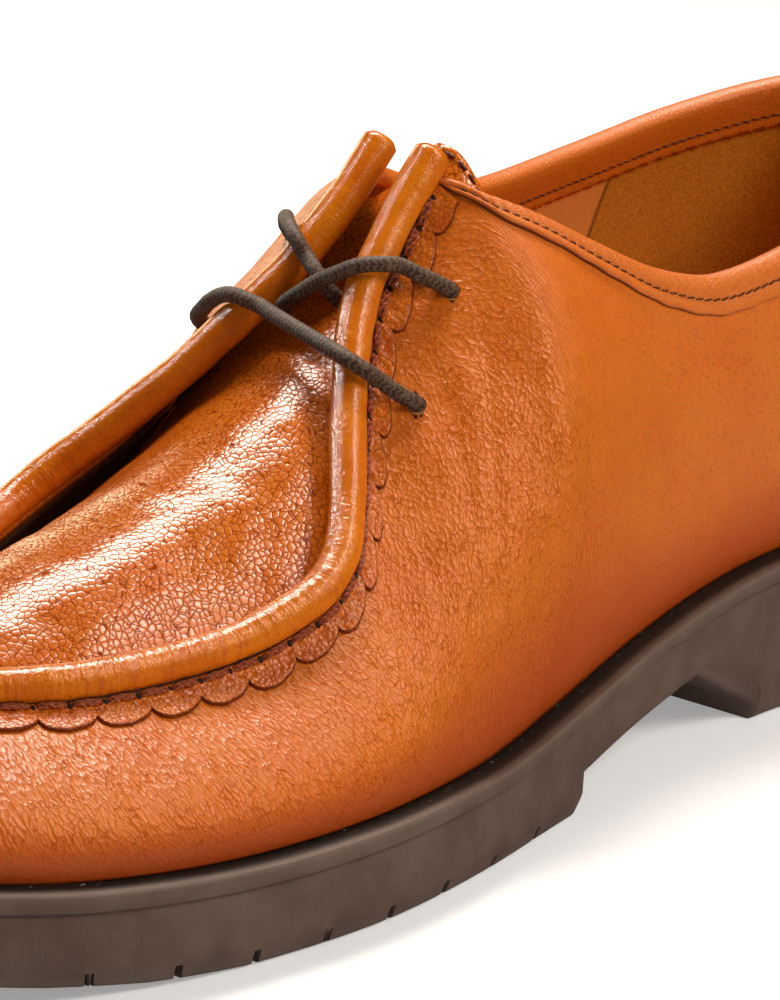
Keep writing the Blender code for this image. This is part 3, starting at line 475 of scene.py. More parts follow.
def shell_point(u, below, offset):
    """Point by the upper: a distance below its top edge (above where negative), then outward."""
    u, below, offset = np.broadcast_arrays(*[np.asarray(each, float) for each in (u, below, offset)])
    point, normal, upward = surface_frame(u, below_top(u, np.maximum(below, 0.0)))
    return point + normal * offset[..., None] + upward * np.maximum(-below, 0.0)[..., None]


def roll_lap(side, station):
    """Place on the upper's lap beside a station of the roll."""
    stations = np.append(column(ROLL_ROWS, 0), ROLL_FRONT[0])
    return np.interp(station, stations, LATERAL_ROLL_KNOTS if side < 0 else MEDIAL_ROLL_KNOTS)


THROAT_LAPS = np.linspace(THROAT_START, THROAT_END, 1200)
THROAT_LENGTHS = lengths_along(section_points(THROAT_LAPS, 1.0))
THROAT_LENGTH = float(THROAT_LENGTHS[-1])


def edge_point(distance, below, offset):
    """Point beside the roll: distance along the wall's top edge, then down and outward."""
    distance = np.asarray(distance, float)
    over = np.minimum(distance, 0.0) + np.maximum(distance - THROAT_LENGTH, 0.0)
    return shell_point(np.interp(distance, THROAT_LENGTHS, THROAT_LAPS) + over * 0.8, below, offset)


# Meshes
def grid_faces(rows, columns, wrap_rows=False, wrap_columns=False):
    """Quads of a grid of points stored row after row."""
    i, j = np.meshgrid(np.arange(rows if wrap_rows else rows - 1),
                       np.arange(columns if wrap_columns else columns - 1), indexing="ij")
    ahead, beside = (i + 1) % rows, (j + 1) % columns
    near, far = i * columns, ahead * columns
    return np.stack([near + j, near + beside, far + beside, far + j], -1).reshape(-1, 4)


class Pile:
    """Gathers the shapes of one piece: points, faces and named values at the points."""

    def __init__(self):
        self.points = []
        self.faces = []
        self.values = {}
        self.count = 0

    def add(self, points, faces, **values):
        points = np.asarray(points, float).reshape(-1, 3)
        self.faces += [tuple(int(k) + self.count for k in face) for face in faces]
        self.points.append(points)
        for name, value in values.items():
            flat = np.broadcast_to(np.asarray(value, float).reshape(-1), (len(points),))
            self.values.setdefault(name, []).append(flat)
        self.count += len(points)

    def piece(self, name, finish, replaces=()):
        """Blender object of the gathered shapes, riding on the shoe."""
        mesh = bpy.data.meshes.new(name)
        mesh.from_pydata(world(np.concatenate(self.points)).tolist(), [], self.faces)
        for label, parts in self.values.items():
            values = np.concatenate(parts).astype(np.float32)
            mesh.attributes.new(label, "FLOAT", "POINT").data.foreach_set("value", values)
        mesh.validate()
        mesh.shade_smooth()
        mesh.materials.append(finish)
        made = bpy.data.objects.new(name, mesh)
        bpy.context.collection.objects.link(made)
        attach(made, "root")
        if replaces:
            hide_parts(*replaces)
        return made


def tube_rings(path, radii, sides):
    """Rings of points round a path, with the distance along and the turn round it."""
    path = np.asarray(path, float)
    tangent = unit(np.gradient(path, axis=0))
    radii = np.broadcast_to(np.asarray(radii, float), (len(path),))
    side = np.cross(tangent[0], (0.0, 0.0, 1.0))
    if np.linalg.norm(side) < 0.1:
        side = np.cross(tangent[0], (0.0, 1.0, 0.0))
    turn = np.arange(sides) * 2 * math.pi / sides
    rings = []
    for place, direction, size in zip(path, tangent, radii):
        side = unit(side - direction * (side @ direction))
        other = np.cross(direction, side)
        rings.append(place + size * (np.outer(np.cos(turn), side) + np.outer(np.sin(turn), other)))
    return np.array(rings), np.repeat(lengths_along(path), sides), np.tile(turn, len(path))


def tube_faces(rings, sides):
    """Faces of a tube, ring after ring, closed at both ends."""
    faces = list(grid_faces(rings, sides, False, True))
    return faces + [range(sides)[::-1], range((rings - 1) * sides, rings * sides)]


def strip_faces(rows, count):
    """Faces of a closed profile swept along a path, row after row, closed at both ends."""
    start = [row * count for row in range(rows)]
    end = [row * count + count - 1 for row in range(rows)]
    return list(grid_faces(rows, count, True, False)) + [start, end[::-1]]


# Shader links
class Link:
    """A socket of a finish. Sums and products of links and numbers add Math nodes."""

    def __init__(self, finish, socket):
        self.finish = finish
        self.socket = socket

    def maths(self, operation, first, second):
        return self.finish.node("ShaderNodeMath", {"operation": operation}, {0: first, 1: second})

    def __add__(self, other):
        return self.maths("ADD", self, other)

    def __radd__(self, other):
        return self.maths("ADD", other, self)

    def __sub__(self, other):
        return self.maths("SUBTRACT", self, other)

    def __rsub__(self, other):
        return self.maths("SUBTRACT", other, self)

    def __mul__(self, other):
        return self.maths("MULTIPLY", self, other)

    def __rmul__(self, other):
        return self.maths("MULTIPLY", other, self)


def tint(red, green, blue):
    """Linear colour from a screen colour of 0 to 255."""
    parts = [each / 255 for each in (red, green, blue)]
    return tuple(p / 12.92 if p < 0.04045 else ((p + 0.055) / 1.055) ** 2.4 for p in parts) + (1.0,)


class Finish:
    """A material with one Principled shader, built up from links."""

    def __init__(self, name):
        self.material = bpy.data.materials.new(name)
        self.material.use_nodes = True
        self.tree = self.material.node_tree
        self.shader = self.tree.nodes["Principled BSDF"]
        place = self.node("ShaderNodeTexCoord", out="Object")
        self.place = self.vector("SCALE", place, scale=1000.0)

    def node(self, kind, settings=None, sockets=None, out=0):
        """Adds a node: its type, its settings, then values or links for its sockets."""
        made = self.tree.nodes.new(kind)
        for name, value in (settings or {}).items():
            setattr(made, name, value)
        for name, value in (sockets or {}).items():
            self.join(value, made.inputs[name])
        return Link(self, made.outputs[out])

    def join(self, value, socket):
        if isinstance(value, Link):
            self.tree.links.new(value.socket, socket)
        else:
            socket.default_value = value

    def vector(self, operation, first, second=None, scale=None):
        sockets = {0: first}
        if second is not None:
            sockets[1] = second
        if scale is not None:
            sockets["Scale"] = scale
        return self.node("ShaderNodeVectorMath", {"operation": operation}, sockets)

    def mix(self, factor, first, second):
        """Blend of two colours."""
        return self.node("ShaderNodeMix", {"data_type": "RGBA"}, {0: factor, 6: first, 7: second}, out=2)

    def step(self, value, low, high):
        """Smooth rise from 0 to 1 between two values."""
        return self.node("ShaderNodeMapRange", {"interpolation_type": "SMOOTHSTEP"},
                         {"Value": value, "From Min": low, "From Max": high})

    def value(self, name):
        """Named value of the mesh, as stored by its maker."""
        return self.node("ShaderNodeAttribute", {"attribute_name": name}, out="Fac")

    def spot(self, x, y, z=0.0):
        return self.node("ShaderNodeCombineXYZ", None, {0: x, 1: y, 2: z})

    def noise(self, place, size, detail=2.0, rough=0.5, out="Fac"):
        """Cloudy pattern with lumps of about size millimetres."""
        sockets = {"Vector": place, "Scale": 1.0 / size, "Detail": detail, "Roughness": rough}
        return self.node("ShaderNodeTexNoise", None, sockets, out)

    def cells(self, place, size):
        """Distance to the border of cells of about size millimetres."""
        return self.node("ShaderNodeTexVoronoi", {"feature": "DISTANCE_TO_EDGE"},
                         {"Vector": place, "Scale": 1.0 / size}, out="Distance")

    def pebbles(self, place, size):
        """Distance from the middle of cells of about size millimetres."""
        return self.node("ShaderNodeTexVoronoi", {"feature": "F1"},
                         {"Vector": place, "Scale": 1.0 / size}, out="Distance")

    def bent(self, place, size, amount):
        """The place pushed about by a soft noise, so that cells don't look drawn."""
        push = self.vector("SUBTRACT", self.noise(place, size, 1.0, out="Color"), (0.5, 0.5, 0.5))
        return self.vector("ADD", place, self.vector("SCALE", push, scale=amount))

    def done(self, colour, roughness, height=None, depth=0.2, dull=None, **constants):
        """Joins colour, roughness, a bump of the given depth in millimetres and places without gloss."""
        self.join(colour, self.shader.inputs["Base Color"])
        self.join(roughness, self.shader.inputs["Roughness"])
        if height is not None:
            normal = self.node("ShaderNodeBump", None,
                               {"Height": height, "Strength": 1.0, "Distance": depth * 0.001}, out="Normal")
            self.join(normal, self.shader.inputs["Normal"])
        for name, value in constants.items():
            self.shader.inputs[name.replace("_", " ")].default_value = value
        if dull is not None:
            matte = self.node("ShaderNodeBsdfPrincipled", None,
                              {"Base Color": colour, "Roughness": 0.9, "Specular IOR Level": 0.0}, out="BSDF")
            gloss = Link(self, self.shader.outputs["BSDF"])
            both = self.node("ShaderNodeMixShader", None, {0: dull, 1: gloss, 2: matte}, out="Shader")
            self.join(both, self.tree.nodes["Material Output"].inputs["Surface"])
        return self.material


# Finishes
ORANGE_TAN = tint(207, 104, 16)
RED_TAN = tint(182, 70, 14)
YELLOW_TAN = tint(216, 119, 18)
# Crease colour: partly the leather's own tone in its creases, partly painted shade there.
CREASE_BROWN = tint(128, 44, 8)
DARK_BROWN = tint(52, 24, 14)


def pebbled_leather(name, cell, amount):
    """Tumbled leather: rounded glossy pebbles with thin dull creases between them, darker partly by their own
    tone and partly as painted shade.
    """
    f = Finish(name)
    place = f.bent(f.place, 2.2, 0.8)
    border = f.cells(place, cell)
    middle = f.pebbles(place, cell)
    swell = f.noise(f.place, 2.6, 2.0)
    pores = f.noise(f.place, 0.28, 3.0, 0.6)
    patch = f.noise(f.place, 14.0, 3.0)
    crease = 1 - f.step(border, 0.0, 0.10)
    colour = f.mix(f.step(patch, 0.35, 0.7), ORANGE_TAN, tint(204, 96, 12))
    colour = f.mix(f.step(swell, 0.45, 0.75) * 0.3, colour, YELLOW_TAN)
    # Creases darker: partly the leather's own tone, partly painted shade in them.
    colour = f.mix(crease * 0.9, colour, CREASE_BROWN)
    height = f.step(border, 0.0, 0.26) * 0.10 - middle * middle * 0.28 + swell * 0.10 + pores * 0.05
    rough = 0.18 + pores * 0.10
    return f.done(colour, rough, height, amount, crease, Specular_IOR_Level=0.6)


def vamp_leather():
    """Fine soft grain drawn out along the flex of the foot, smoother towards the sole, and darker and redder
    there as painted shade.
    """
    f = Finish("vamp_leather")
    lap = f.value("lap")
    fall = f.value("fall")
    grain = f.value("grain")
    across = lap * 0.86 + fall * 0.5
    drawn = fall * 0.86 - lap * 0.5
    place = f.bent(f.bent(f.spot(across, drawn * 0.44, 0.0), 2.4, 1.5), 0.7, 0.45)
    border = f.cells(place, 0.66)
    middle = f.pebbles(place, 0.66)
    swell = f.noise(f.spot(across * 0.5, drawn * 0.22, 0.0), 1.0, 3.0, 0.55)
    pores = f.noise(f.place, 0.25, 3.0, 0.6)
    fine = f.pebbles(f.bent(f.place, 1.2, 0.6), 0.55)
    broken = f.step(f.noise(f.place, 3.5, 2.0), 0.34, 0.6)
    patch = f.noise(f.place, 18.0, 3.0)
    low = f.step(f.value("share"), 0.36, 0.02)
    coarse = f.step(grain, 0.3, 0.75)
    crease = (1 - f.step(border, 0.0, 0.10)) * coarse * (0.35 + broken * 0.65)
    colour = f.mix(f.step(patch, 0.35, 0.7), ORANGE_TAN, tint(204, 97, 12))
    # Painted shade: darker and redder towards the sole.
    colour = f.mix(low * 0.85, colour, tint(170, 62, 8))
    # Creases darker: partly the grain's own tone, partly painted shade in them.
    colour = f.mix(crease * 0.62, colour, tint(134, 48, 8))
    colour = f.mix((1 - f.step(swell, 0.3, 0.5)) * coarse * 0.15, colour, tint(168, 66, 8))
    # Darker between the fine cells where the grain is smooth: partly the grain's own tone, partly painted
    # shade.
    colour = f.mix(f.step(fine, 0.55, 0.8) * (1 - coarse) * 0.35, colour, tint(156, 58, 8))
    height = pores * 0.14 - middle * middle * coarse * 0.8 + f.step(swell, 0.25, 0.75) * coarse * 0.3
    height = height - fine * fine * (1 - coarse) * 0.22
    rough = 0.30 + pores * 0.12 + (1 - coarse) * 0.08
    return f.done(colour, rough, height, 0.22, crease * 0.9, Specular_IOR_Level=0.45)


def roll_leather():
    """Smooth stretched leather with a fine grain and short cross wrinkles, deeper where it bends."""
    f = Finish("roll_leather")
    along = f.value("along")
    turn_x = f.value("turn_x")
    turn_y = f.value("turn_y")
    bend = f.value("bend")
    wrinkle = f.noise(f.spot(along * 0.75, turn_x * 0.6, turn_y * 0.6), 1.0, 3.0, 0.5)
    cross = f.noise(f.spot(along * 2.2, turn_x * 1.6, turn_y * 1.6), 1.0, 3.0, 0.6)
    grain = f.pebbles(f.bent(f.place, 1.0, 0.4), 0.5)
    pores = f.noise(f.place, 0.22, 3.0, 0.6)
    patch = f.noise(f.place, 9.0, 3.0)
    colour = f.mix(f.step(patch, 0.35, 0.7), tint(214, 116, 16), tint(202, 100, 14))
    crease = (1 - f.step(wrinkle, 0.36, 0.48)) * bend
    # Wrinkle troughs redder and darker: partly the leather's own tone, partly painted shade.
    colour = f.mix(crease * 0.5, colour, RED_TAN)
    # Between the grain's pebbles duller and redder: partly grain tone, partly painted shade.
    dull = f.step(grain, 0.5, 0.8) * 0.5
    colour = f.mix(dull * 0.7, colour, RED_TAN)
    height = f.step(wrinkle, 0.3, 0.66) * bend * 0.9 + cross * 0.40 + pores * 0.15 - grain * grain * 0.3
    rough = 0.12 + crease * 0.1 + pores * 0.08
    return f.done(colour, rough, height, 0.16, dull, Specular_IOR_Level=0.6)


def strip_leather():
    """Scalloped strip: the vamp's own leather with a dark cut edge, partly the edge's own colour and partly
    painted shadow along the petals' outline.
    """
    f = Finish("scallop_leather")
    rim = f.value("rim")
    place = f.bent(f.place, 1.6, 0.7)
    border = f.cells(place, 0.85)
    middle = f.pebbles(place, 0.85)
    pores = f.noise(f.place, 0.3, 3.0, 0.6)
    patch = f.noise(f.place, 5.0, 3.0)
    cut = f.step(rim, 0.87, 0.96)
    crease = 1 - f.step(border, 0.0, 0.12)
    colour = f.mix(f.step(patch, 0.35, 0.7), ORANGE_TAN, tint(192, 84, 12))
    # Creases darker: partly the leather's own tone, partly painted shade.
    colour = f.mix(crease * 0.7, colour, tint(136, 50, 8))
    # Dark line along the petals' cut edge: partly the edge's own colour, partly painted shadow.
    colour = f.mix(cut * 0.85, colour, tint(92, 32, 8))
    height = pores * 0.14 - middle * middle * 0.9
    rough = 0.24 + pores * 0.14
    return f.done(colour, rough, height, 0.20, crease * 0.4 + cut * 0.5, Specular_IOR_Level=0.45)


def binding_leather():
    """Collar binding: thin smooth leather, darker at its edges: the raw inner edge in its own colour, the
    lower outer edge as a painted shadow line.
    """
    f = Finish("binding_leather")
    pores = f.noise(f.place, 0.28, 3.0, 0.6)
    patch = f.noise(f.place, 7.0, 3.0)
    border = f.cells(f.bent(f.place, 1.4, 0.6), 0.85)
    pull = f.noise(f.spot(f.value("lap") * 0.5, f.value("fall") * 0.12, 0.0), 1.0, 3.0)
    raw = f.step(f.value("raw"), 0.2, 0.9)
    colour = f.mix(f.step(patch, 0.35, 0.7), ORANGE_TAN, tint(210, 104, 24))
    # Creases a little darker: partly the leather's own tone, partly painted shade.
    colour = f.mix((1 - f.step(border, 0.0, 0.1)) * 0.3, colour, tint(150, 58, 12))
    # Darker where marked raw: the inner raw edge in its own colour, the lower outer edge as a painted shadow
    # line under the band.
    colour = f.mix(raw * 0.85, colour, tint(92, 36, 12))
    height = f.step(border, 0.0, 0.3) * 0.25 + pores * 0.15 + pull * 0.6
    rough = 0.38 + raw * 0.4 + pores * 0.16
    return f.done(colour, rough, height, 0.16, Specular_IOR_Level=0.45)


def lining_leather():
    """Lining: smooth tan leather in front, golden suede at the heel, a closed seam between them."""
    f = Finish("lining_leather")
    nap = f.noise(f.place, 0.5, 4.0, 0.7)
    soft = f.noise(f.place, 6.0, 3.0)
    specks = f.step(f.noise(f.place, 0.45, 2.0, 0.6), 0.64, 0.70)
    station = f.value("station")
    heel = f.step(station, 53.6, 52.6)
    seam = f.step(station, 52.2, 53.0) * (1 - f.step(station, 53.2, 54.0))
    front = f.mix(soft, tint(222, 138, 66), tint(212, 122, 50))
    back = f.mix(f.step(nap, 0.3, 0.7), tint(176, 96, 14), tint(208, 128, 30))
    back = f.mix(specks * 0.6, back, tint(104, 50, 10))
    colour = f.mix(heel, front, back)
    colour = f.mix(seam * 0.7, colour, tint(96, 44, 12))
    height = nap * (0.25 + heel * 0.75) - seam * 1.2
    rough = 0.55 + heel * 0.35
    return f.done(colour, rough, height, 0.18, Specular_IOR_Level=0.3)


def raw_edge_and_shade(name, colour, other):
    """Cut leather fibres, no gloss: eyelet edges in their own colour, and in dark colours the painted shade
    of the seam groove, the needle holes and the groove beside the apron.
    """
    f = Finish(name)
    fibre = f.noise(f.place, 0.35, 4.0, 0.7)
    return f.done(f.mix(f.step(fibre, 0.3, 0.7), colour, other), 0.8 + fibre * 0.15, fibre, 0.12)


def thread(name, colour, other):
    """Twisted thread: lighter on its plies and darker between them as painted highlight and shade, and a soft
    waxed shine.
    """
    f = Finish(name)
    along = f.value("along")
    around = f.value("around")
    twist = f.node("ShaderNodeMath", {"operation": "SINE"}, {0: along * 5.2 + around * 2.0})
    fibre = f.noise(f.spot(along * 6.0, around * 2.0, 0.0), 1.0, 3.0, 0.7)
    ply = f.step(twist, -0.8, 0.6)
    # Painted highlight and shade: the plies lighter, the twist between them darker.
    colour = f.mix(ply * 0.75 + fibre * 0.25, other, colour)
    return f.done(colour, 0.5 + fibre * 0.25, ply * 0.8 + fibre * 0.4, 0.12)


def lace_braid():
    """Round waxed braid, dark brown-grey, lighter on the raised strands and darker between them as painted
    highlight and shade.
    """
    f = Finish("lace_braid")
    weave = f.value("weave")
    fibre = f.noise(f.spot(f.value("along") * 5.0, f.value("around") * 3.0, 0.0), 1.0, 3.0, 0.7)
    patch = f.noise(f.place, 1.2, 3.0)
    # Painted highlight and shade: raised strands lighter, the gaps between them darker.
    colour = f.mix(f.step(weave, 0.05, 0.9), tint(50, 32, 23), tint(98, 72, 56))
    colour = f.mix(f.step(patch, 0.42, 0.75) * 0.45, colour, tint(116, 90, 72))
    height = weave * 0.4 + fibre * 0.5
    return f.done(colour, 0.5 + fibre * 0.25, height, 0.12, Specular_IOR_Level=0.3)


def sole_rubber():
    """Moulded rubber: brown-grey, matte, with fine grain, scuffs and dust in the joint, painted shadow on the
    ledge and lighter rounded edges as painted highlight and wear.
    """
    f = Finish("sole_rubber")
    grain = f.noise(f.place, 0.35, 4.0, 0.65)
    scuff = f.noise(f.place, 9.0, 4.0, 0.6)
    streak = f.noise(f.spot(f.value("lap") * 1.1, f.value("height") * 0.14, 0.0), 1.0, 4.0, 0.6)
    ledge = f.value("ledge")
    dust = f.step(f.noise(f.place, 0.7, 1.0), 0.7, 0.78) * f.step(ledge, 0.6, 1.0)
    edge_highlight_and_wear = f.value("rounded")
    colour = f.mix(f.step(scuff, 0.3, 0.7), tint(84, 64, 55), tint(98, 78, 68))
    colour = f.mix(f.step(streak, 0.5, 0.8) * 0.3, colour, tint(102, 85, 76))
    # Painted edge highlight along with wear: the rounded edges are lighter.
    colour = f.mix(edge_highlight_and_wear * 0.4, colour, tint(120, 101, 91))
    # Painted shadow: the ledge turns near black where the upper overhangs it.
    colour = f.mix(f.step(ledge, 0.0, 0.7), colour, tint(20, 9, 6))
    colour = f.mix(dust * 0.8, colour, tint(200, 190, 180))
    height = grain * 0.6 + streak * 0.4
    return f.done(colour, 0.62 + grain * 0.2, height, 0.12, Specular_IOR_Level=0.3)


def studio_floor():
    """Matte pale floor with a little light of its own."""
    f = Finish("studio_floor")
    f.shader.inputs["Emission Color"].default_value = (1.0, 1.0, 1.0, 1.0)
    f.shader.inputs["Emission Strength"].default_value = 0.3
    cloud = f.noise(f.place, 400.0, 2.0)
    return f.done(f.mix(cloud, (0.86, 0.86, 0.86, 1.0), (0.88, 0.88, 0.88, 1.0)), 0.9)


# Sole
def underside(s):
    """Height of the sole's underside without its tread grooves."""
    return np.interp(s, column(UNDERSIDE_ROWS, 0), column(UNDERSIDE_ROWS, 1))


def sole_stations():
    """Stations along the sole with the underside's height at each, grooves cut in."""
    special = [row[0] for row in UNDERSIDE_ROWS]
    grooves = []
    for middle in TREAD_GROOVES:
        wide = GROOVE_HALF_WIDTH + GROOVE_RISER
        depth = underside(middle) + GROOVE_DEPTH
        grooves.append((middle - wide, underside(middle - wide)))
        grooves.append((middle - GROOVE_HALF_WIDTH, depth))
        grooves.append((middle + GROOVE_HALF_WIDTH, depth))
        grooves.append((middle + wide, underside(middle + wide)))
    tips = [0.05, 0.2, 0.5, 1.0, 2.0, 3.2, 5.0, 7.0, 9.5, 12.0]
    tips += [SOLE_LENGTH - tip for tip in tips]
    taken = np.array(special + tips + [row[0] for row in grooves])
    regular = [s for s in np.arange(13.5, 287.0, 1.5) if np.abs(taken - s).min() > 0.5]
    plain = [(s, float(underside(s))) for s in special + tips + regular]
    return np.array(sorted(plain + grooves))


def ring_at(outline, stations, heights):
    """One ring of points in lap order at paired stations."""
    flat = np.concatenate([outline.pair(-1, stations), outline.pair(1, stations[1:-1])[::-1]])
    return np.column_stack([flat, np.concatenate([heights, heights[1:-1][::-1]])])


def paired_cap(start, stations):
    """Faces straight across one ring made of a heel point, outer side, toe point and inner side."""
    lap = 2 * stations - 2
    faces = [(start, start + 1, start + lap - 1)]
    for i in range(1, stations - 2):
        faces.append((start + i, start + i + 1, start + lap - i - 1, start + lap - i))
    faces.append((start + stations - 2, start + stations - 1, start + stations))
    return faces


def make_sole(finish):
    """Moulded sole: ledge, lip, side with its groove, tread and heel."""
    stations, bottom = sole_stations().T
    lip = table_at(LIP_ROWS, 1, stations)
    plain = underside(stations)
    rings = []
    for inset, share, drop in LEDGE_ROWS + SIDE_ROWS:
        height = np.maximum(lip + (plain - lip) * share + drop, bottom)
        rings.append(ring_at(Outline(inset), stations, height))
    count = len(rings[0])
    points = np.concatenate(rings)
    pile = Pile()
    faces = list(grid_faces(len(rings), count, False, True))
    faces += paired_cap(0, len(stations)) + paired_cap((len(rings) - 1) * count, len(stations))
    steps = np.linalg.norm(np.diff(rings[3], axis=0, append=rings[3][:1]), axis=1)
    lap = np.tile(np.cumsum(steps), len(rings))
    pile.add(points, faces, ledge=np.repeat(LEDGE_SHADE, count), rounded=np.repeat(ROUNDED_EDGE, count),
             lap=lap, height=points[:, 2])
    made = pile.piece("sole_unit", finish, ["sole"])
    made.data.set_sharp_from_angle(angle=math.radians(SOLE_SHARP_EDGE))


def make_insole(finish):
    """Insole with its sock lining, rounded at the upper edge."""
    stations = np.concatenate([[0, 0.2, 0.6, 1.4, 2.4, 3.8, 5.5, 7.5], np.arange(10, 291, 4),
                               [292.5, 294.5, 296.2, 297.6, 298.6, 299.4, 299.8, 300]])
    pile = Pile()
    rings = []
    for inset, rise in ((2.9, 0.0), (2.9, INSOLE - 0.8), (3.2, INSOLE - 0.2), (3.9, INSOLE)):
        inner = Outline(LEDGE + inset)
        floor = table_at(LIP_ROWS, 1, inner.inset_station(stations)) + GAP
        rings.append(ring_at(inner, stations, floor + rise))
    count = len(rings[0])
    faces = list(grid_faces(len(rings), count, False, True))
    faces += paired_cap(0, len(stations)) + paired_cap((len(rings) - 1) * count, len(stations))
    points = np.concatenate(rings)
    pile.add(points, faces, station=points[:, 0])
    return pile.piece("insole_sock", finish, ["insole"])


# Upper
# Creases, given one by one: side, roll station, distance below the edge, slant, length, width, depth
CREASES = (
    (-1, 150.0, 30.0, 58.0, 22.0, 2.4, 0.35), (-1, 154.0, 40.0, 62.0, 20.0, 2.2, 0.32),
    (-1, 160.0, 34.0, 66.0, 24.0, 2.6, 0.38), (-1, 166.0, 44.0, 70.0, 18.0, 2.2, 0.28),
    (-1, 172.0, 30.0, 74.0, 16.0, 2.0, 0.26), (-1, 180.0, 22.0, 84.0, 12.0, 1.8, 0.24),
    (-1, 186.0, 26.0, 96.0, 14.0, 2.0, 0.26), (1, 152.0, 34.0, 118.0, 22.0, 2.4, 0.35),
    (1, 160.0, 40.0, 112.0, 22.0, 2.4, 0.34), (1, 168.0, 36.0, 108.0, 20.0, 2.2, 0.30),
    (1, 178.0, 28.0, 100.0, 15.0, 2.0, 0.26), (1, 186.0, 24.0, 84.0, 13.0, 1.9, 0.24),
)


def crease_depth(u, fall):
    """How far the listed creases sink the surface."""
    depth = np.zeros(np.broadcast(u, fall).shape)
    for side, station, below, slant, length, width, sink in CREASES:
        turn = math.radians(slant)
        across_lap = u - roll_lap(side, station)
        down = fall - below
        along = across_lap * math.cos(turn) + down * math.sin(turn)
        across = down * math.cos(turn) - across_lap * math.sin(turn)
        depth += sink * np.exp(-(along / length) ** 2 - (across / width) ** 2)
    return depth


def eyelet_axis(side, station, below):
    """Middle and direction of an eyelet on the outer surface."""
    lap = float(roll_lap(side, station))
    point, normal, _ = surface_frame(np.array(lap), below_top(lap, below))
    return point, normal


def all_eyelets():
    """Side, roll station and distance below the edge of each eyelet."""
    return [(side, *row) for side in (-1, 1) for row in EYELETS]


def open_eyelets(points, faces):
    """Rounds the mesh back from each eyelet and leaves out the faces inside it."""
    gone = np.zeros(len(points), bool)
    snug = np.zeros(len(points), bool)
    for eyelet in all_eyelets():
        middle, normal = eyelet_axis(*eyelet)
        away = points - middle
        high = away @ normal
        flat = away - high[:, None] * normal
        radius = np.linalg.norm(flat, axis=1)
        near = (np.abs(high) < 4.0) & (radius < EYELET_RADIUS)
        gone |= near & (radius < 0.55 * EYELET_RADIUS)
        edge = near & (radius >= 0.55 * EYELET_RADIUS)
        snug |= edge
        points[edge] += flat[edge] * (EYELET_RADIUS / radius[edge] - 1)[:, None]
    inside = gone | snug
    kept = ~(gone[faces].any(axis=1) | inside[faces].all(axis=1))
    return faces[kept]


# Grain by station, coarse where the foot flexes, the leather's thickness, and the creases' strength
FLEX_GRAIN = ((45.0, 100.0, 128.0, 150.0, 230.0, 285.0), (0.2, 0.32, 0.5, 1.0, 0.9, 0.7))
UPPER_LEATHER = 1.25
CREASE_STRENGTH = 0.6


def make_upper(finish):
    """Vamp and quarters: outer face, rim and inner face of one leather wall."""
    u = np.linspace(0.0, RING_LAP, 620, endpoint=False)
    v = np.linspace(0.0, 1.0, 76)
    grid_u, grid_v = np.meshgrid(u, v)
    point, normal, _ = surface_frame(grid_u, grid_v)
    fall = fall_at(grid_u, grid_v)
    quiet = np.clip(fall / 12.0, 0, 1) * np.clip(grid_v / 0.12, 0, 1)
    shift = (0.22 * ripple(point, 34.0, 3) + 0.08 * ripple(point, 11.0, 5)) * quiet
    creased = np.clip(fall / 8.0, 0, 1) * np.clip(grid_v / 0.2, 0, 1)
    shift -= CREASE_STRENGTH * crease_depth(grid_u, fall) * creased
    outer = point + normal * shift[..., None]
    inner_v = np.linspace(1.0, 0.0, 30)
    inner_u, inner_share = np.meshgrid(u, inner_v)
    inner_point, inner_normal, _ = surface_frame(inner_u, inner_share)
    inner = inner_point - UPPER_LEATHER * inner_normal
    points = np.concatenate([outer.reshape(-1, 3), inner.reshape(-1, 3)])
    faces = grid_faces(len(v) + len(inner_v), len(u), True, True)
    faces = open_eyelets(points, faces)
    laps = np.concatenate([grid_u.ravel(), inner_u.ravel()])
    shares = np.concatenate([grid_v.ravel(), inner_share.ravel()])
    grain = np.interp(points[:, 0], *FLEX_GRAIN) * (0.45 + 0.55 * np.clip(shares / 0.3, 0, 1))
    pile = Pile()
    pile.add(points, faces, lap=laps, share=shares, fall=fall_at(laps, shares), grain=grain)
    return pile.piece("vamp_and_quarters", finish, ["upper"])


def edge_depth(laps):
    """How far below the wall's top the apron's edge lies, nothing outside the throat."""
    stations = np.append(column(ROLL_ROWS, 0), ROLL_FRONT[0])
    outer = np.interp(laps, LATERAL_ROLL_KNOTS, stations)
    inner = np.interp(laps, MEDIAL_ROLL_KNOTS[::-1], stations[::-1])
    inner_side = laps >= LATERAL_ROLL_KNOTS[-1]
    place = np.where(inner_side, inner, outer)
    depth = table_at(TUCK_ROWS, 1, place) + np.where(inner_side, table_at(TUCK_ROWS, 5, place), 0.0)
    away = np.maximum(THROAT_START - laps, laps - THROAT_END)
    return depth * np.clip(1 - away / 6.0, 0, 1)


# Lining: how far its two faces lie inside the wall's outer face, and the slant of its seam
LINING_FACES = (-1.3, -WALL)
LINING_TOP = 0.995
LINING_SEAM_SLANT = 0.3
LINING_SEAM_HEIGHT = 72.0


